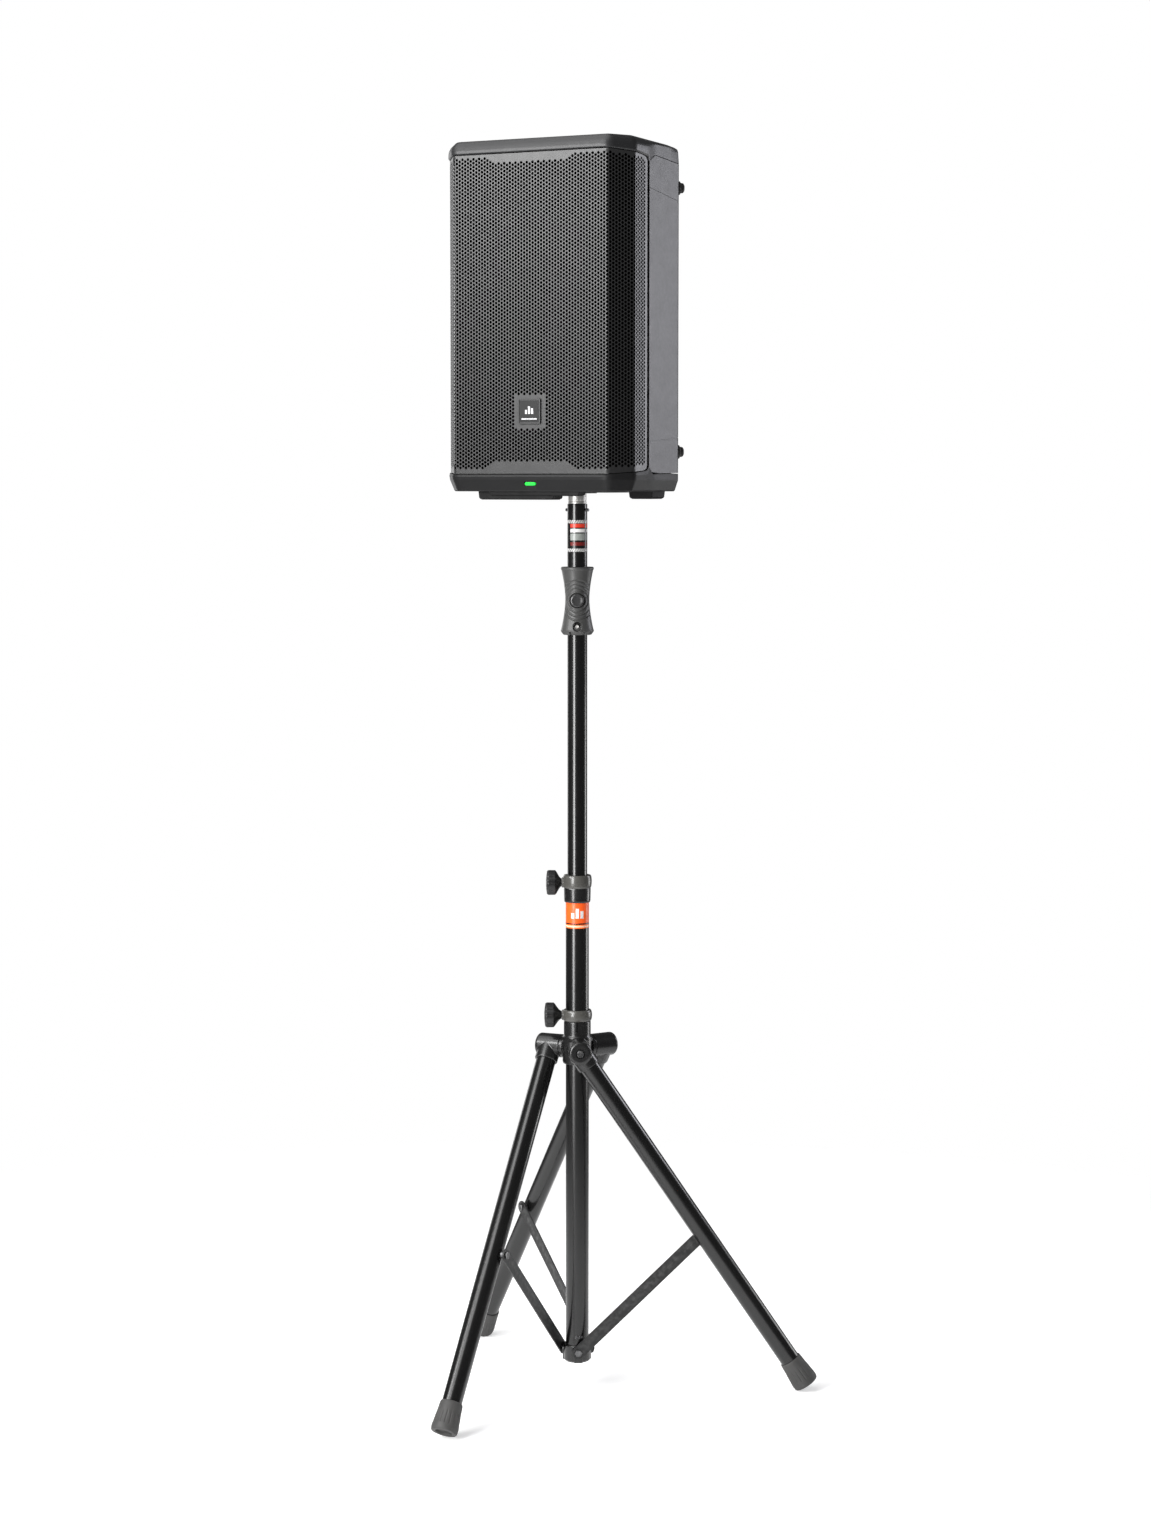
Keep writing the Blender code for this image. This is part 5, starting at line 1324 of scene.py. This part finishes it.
def rear_controls():
    screen = slab((-0.026, PANEL_FACE - 0.006, DISPLAY_Z - 0.02),
                  (0.026, PANEL_FACE + 0.001, DISPLAY_Z + 0.02), 0.0008)
    piece(screen, "display_window", SCREEN, "speaker",
          replaces=("display_window",))
    bars = [slab((-0.021 + 0.0062 * i, PANEL_FACE + 0.001, DISPLAY_Z - 0.014),
                 (-0.0172 + 0.0062 * i, PANEL_FACE + 0.0011,
                  DISPLAY_Z - 0.014 + 0.003 * (1 + (i * 5) % 7)),
                 0.0) for i in range(7)]
    piece(gathered(*bars), "display_bars", SCREEN_LIT, "speaker")
    for name, x, z, radius, reach in (("menu_encoder", 0.0, ENCODER_Z, 0.012, 0.014),
                                      ("gain_knob_1", -SIDE_X, GAIN_Z, 0.007, 0.011),
                                      ("gain_knob_2", SIDE_X, GAIN_Z, 0.007, 0.011)):
        profile = rounded([(0.0, reach - 0.0004), (radius * 0.62, reach - 0.0004),
                           (radius * 0.7, reach), (radius * 0.93, reach),
                           (radius, reach - 0.0016), (radius * 1.03, 0.002),
                           (radius * 1.06, 0.0016), (radius * 1.06, GAP), (0.003, GAP),
                           (0.003, -0.008), (0.0, -0.008)], 0.0003, 2)

        def knurl(angle, r, height, size=radius, top=reach):
            if r < size * 0.9 or height > top - 0.0008 or height < 0.0018:
                return r
            return r - 0.00035 * (0.5 + 0.5 * math.cos(30 * angle))

        seat = at(x, PANEL_FACE, z) @ Y_FROM_Z
        piece(lathe(profile, 240, shape=knurl), name, PLASTIC, name, seat, (name,),
              sharp=40)
        mark = slab((-0.0004, radius * 0.3, reach - 0.0003), (0.0004, radius * 0.9, reach + 0.00008),
                    0.0)
        piece(mark, f"{name}_pointer", FILM_WHITE, name,
              seat @ Matrix.Rotation(math.pi, 4, "Z"))
    for name, x in (("input_jack_1", -SIDE_X), ("input_jack_2", SIDE_X)):
        ring = rounded([(0.01, 0.0022), (0.0148, 0.0022), (0.0155, 0.0012), (0.0155, GAP),
                        (0.0121, GAP), (0.0121, -0.016), (0.0, -0.016), (0.0, -0.013),
                        (0.01, -0.013)], [0.0004] * 6 + [0, 0, 0.0004], 2, closed=True)
        seat = at(x, PANEL_FACE, JACK_Z) @ Y_FROM_Z
        shell = lathe(ring, 96, closed=True)
        pins = [moved(rod(0.0013, -0.0132, -0.006, steps=20, edge=0.0004),
                      at(0.0052 * math.cos(a), 0.0052 * math.sin(a), 0))
                for a in (math.radians(90 + 120 * k) for k in range(3))]
        piece(shell, name, PLASTIC, "speaker", seat, (name,), sharp=40)
        piece(gathered(*pins), f"{name}_contacts", CHROME, "speaker", seat)
    rocker = [(-0.014, -0.003), (0.014, -0.003), (0.014, 0.0018), (0.01, 0.0026),
              (0.0, 0.0012), (-0.01, 0.0026), (-0.014, 0.0018)]
    shape = prism(rounded(rocker, [0.0003, 0.0003, 0.0006, 0.002, 0.02, 0.002, 0.0006], 4,
                          closed=True),
                  -0.01, 0.01, 0.0004)
    moved(shape, Matrix(((0, 0, 1, 0), (0, 1, 0, 0), (1, 0, 0, 0), (0, 0, 0, 1))))
    piece(shape, "power_switch", PLASTIC, "power_switch",
          at(-SIDE_X, PANEL_FACE, POWER_Z) @ Matrix.Rotation(math.radians(-6), 4, "X"),
          ("power_switch",), sharp=30)
    y0, y1 = PANEL_FACE - 0.018, PANEL_FACE + 0.002
    inlet = slab((-0.015, y0, -0.012), (0.015, y1, 0.012), 0.0008)
    carve(inlet, slab((-0.0122, y0 + 0.003, -0.0085), (0.0122, y1 + 0.01, 0.0085), 0.0))
    piece(inlet, "mains_inlet", PLASTIC, "speaker",
          at(SIDE_X, 0, POWER_Z), ("mains_inlet",), sharp=30)
    blades = [slab((x - 0.001, y0 + 0.0025, z - 0.002), (x + 0.001, y1 - 0.004, z + 0.002), 0.0003)
              for x, z in ((-0.007, -0.002), (0.0, 0.003), (0.007, -0.002))]
    piece(gathered(*blades), "mains_contacts", CHROME, "speaker",
          at(SIDE_X, 0, POWER_Z))


def repaint_cad_nodes():
    """The hidden and inner CAD nodes keep their solids and take the scene's finishes; the baffle and
    the driver parts take near-black finishes that also paint the shade behind the grille.
    """
    finishes = {
        "gas_spring_rod": CHROME, "gas_spring_cylinder": ZINC, "pole_bushing": PLASTIC,
        "front_baffle": INSIDE_BLACK_AND_SHADE, "woofer_basket": DRIVER_BLACK_AND_SHADE, "woofer_magnet": DRIVER_BLACK_AND_SHADE,
        "woofer_cone": CONE_BLACK_AND_SHADE, "horn_flare": DRIVER_BLACK_AND_SHADE, "compression_driver": DRIVER_BLACK_AND_SHADE,
        "amp_module": MODULE,
    }
    for name, mat in finishes.items():
        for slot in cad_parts[name].material_slots:
            slot.material = mat


# ------------------------------------------------------------------- camera, lights and floor
CAMERA_AZIMUTH = -60.0                 # where the camera stands, seen from the pole
CAMERA_DISTANCE = 6.5
CAMERA_HEIGHT = 1.767
CAMERA_PITCH = 4.86                    # degrees below level
CAMERA_LENS = 79.4
CAMERA_SHIFT = -0.0035                 # the camera stands this far to the side of that line
LIGHTS = (                             # name, swing, distance, height, size, aim height, radiance
    ("key_left", -37.0, 3.6, 1.55, (1.0, 2.9), 1.5, 17.0),
    ("front_high", -62.0, 4.2, 2.98, (1.7, 1.2), 2.3, 16.0),
    ("side_right", 112.0, 3.4, 2.3, (1.1, 1.5), 2.1, 6.6, (0.985, 0.985, 1.05)),
    ("side_low", 112.0, 3.4, 0.62, (1.1, 1.1), 0.9, 5.5),
    ("rear_fill", -150.0, 4.5, 1.8, (2.0, 3.0), 1.4, 1.6),
    ("ceiling", -75.0, 1.5, 5.2, (4.0, 4.0), 2.0, 2.0),
    ("overhead_front", -48.0, 3.7, 4.9, (3.0, 1.6), 1.0, 4.0),
)
SKY_COLOR = (0.93, 0.93, 0.93, 1.0)
SKY_LIGHT, SKY_SEEN = 0.13, 1.075      # how bright the surroundings are as light, and to the eye
FLOOR_Z = -0.0004
FLOOR_RADII = (1.0, 2.7)
FLOOR_FADE = (1.0, 2.6)                # the floor is whole inside the first, gone past the second
FLOOR_GLOW = 0.42


def softbox(name, swing, distance, height, size, aim_height, radiance, color=(1.0, 1.0, 1.0)):
    """A soft light at a swing (degrees, seen from the pole, anticlockwise from the camera)."""
    lamp = bpy.data.lights.new(name, "AREA")
    lamp.shape = "RECTANGLE"
    lamp.size, lamp.size_y = size
    lamp.energy = radiance * math.pi * size[0] * size[1]
    lamp.color = color
    obj = bpy.data.objects.new(name, lamp)
    bpy.context.scene.collection.objects.link(obj)
    place = heading(CAMERA_AZIMUTH + swing, distance) + Vector((0, 0, height))
    obj.matrix_world = POLE_AXIS @ Matrix.Translation(place)
    aim = Vector((0, 0, aim_height)) - place
    obj.rotation_euler = aim.to_track_quat("-Z", "Y").to_euler()


def studio():
    scene = bpy.context.scene
    scene.view_settings.view_transform = "Standard"
    camera = bpy.data.cameras.new("camera")
    camera.lens = CAMERA_LENS
    camera.sensor_width = 36.0
    camera.clip_end = 100.0
    obj = bpy.data.objects.new("camera", camera)
    scene.collection.objects.link(obj)
    spot = heading(CAMERA_AZIMUTH, CAMERA_DISTANCE) + Vector((0, 0, CAMERA_HEIGHT))
    spot += heading(CAMERA_AZIMUTH + 90, CAMERA_SHIFT)
    obj.location = POLE_AXIS @ spot
    obj.rotation_euler = (math.radians(90 - CAMERA_PITCH), 0, math.radians(CAMERA_AZIMUTH + 90))
    scene.camera = obj

    for light in LIGHTS:
        softbox(*light)

    world = bpy.data.worlds.new("studio")
    world.use_nodes = True
    tree = world.node_tree
    sky = tree.nodes["Background"]
    sky.inputs["Color"].default_value = SKY_COLOR
    path = tree.nodes.new("ShaderNodeLightPath")
    level = tree.nodes.new("ShaderNodeMapRange")
    level.inputs["To Min"].default_value = SKY_LIGHT
    level.inputs["To Max"].default_value = SKY_SEEN
    tree.links.new(path.outputs["Is Camera Ray"], level.inputs["Value"])
    tree.links.new(level.outputs["Result"], sky.inputs["Strength"])
    scene.world = world

    floor = lathe([(radius, FLOOR_Z) for radius in (0.0, *FLOOR_RADII)], 96)
    floor.name = "floor"
    n = Nodes("floor_pale")
    distance = n.add("ShaderNodeVectorMath", operation="LENGTH")
    n.link(n.spot, distance.inputs[0])
    fade = n.remap(distance.outputs["Value"], *FLOOR_FADE, 1.0, 0.0)
    n.link(fade, n.shader.inputs["Alpha"])
    cloud = n.remap(n.noise(3.0), 0.3, 0.7, 0.0, 1.0)
    n.link(n.mix(cloud, (0.86, 0.86, 0.86), (0.88, 0.88, 0.88)), n.shader.inputs["Base Color"])
    n.shader.inputs["Roughness"].default_value = 0.8
    n.shader.inputs["Specular IOR Level"].default_value = 0.1
    n.shader.inputs["Emission Color"].default_value = (1.0, 1.0, 1.0, 1.0)
    n.shader.inputs["Emission Strength"].default_value = FLOOR_GLOW
    floor.data.materials.append(n.material)


def main():
    column()
    upper_collar()
    bottom_bracket()
    hub()
    clamp_knob("upper_knob", UPPER_CLAMP_Z, 0.02, 0.0402, 0.06)
    clamp_knob("lower_knob", LOWER_CLAMP_Z, 0.0232, 0.0432, 0.0635)
    for number, azimuth in enumerate(LEG_AZIMUTHS, 1):
        leg(number, azimuth)
        brace(number, azimuth)
    pole()
    top_cap()
    base_cap()
    cabinet_shell()
    grille()
    badge()
    power_led()
    pole_cup()
    top_handle()
    amp_panel()
    rear_controls()
    repaint_cad_nodes()
    studio()


main()
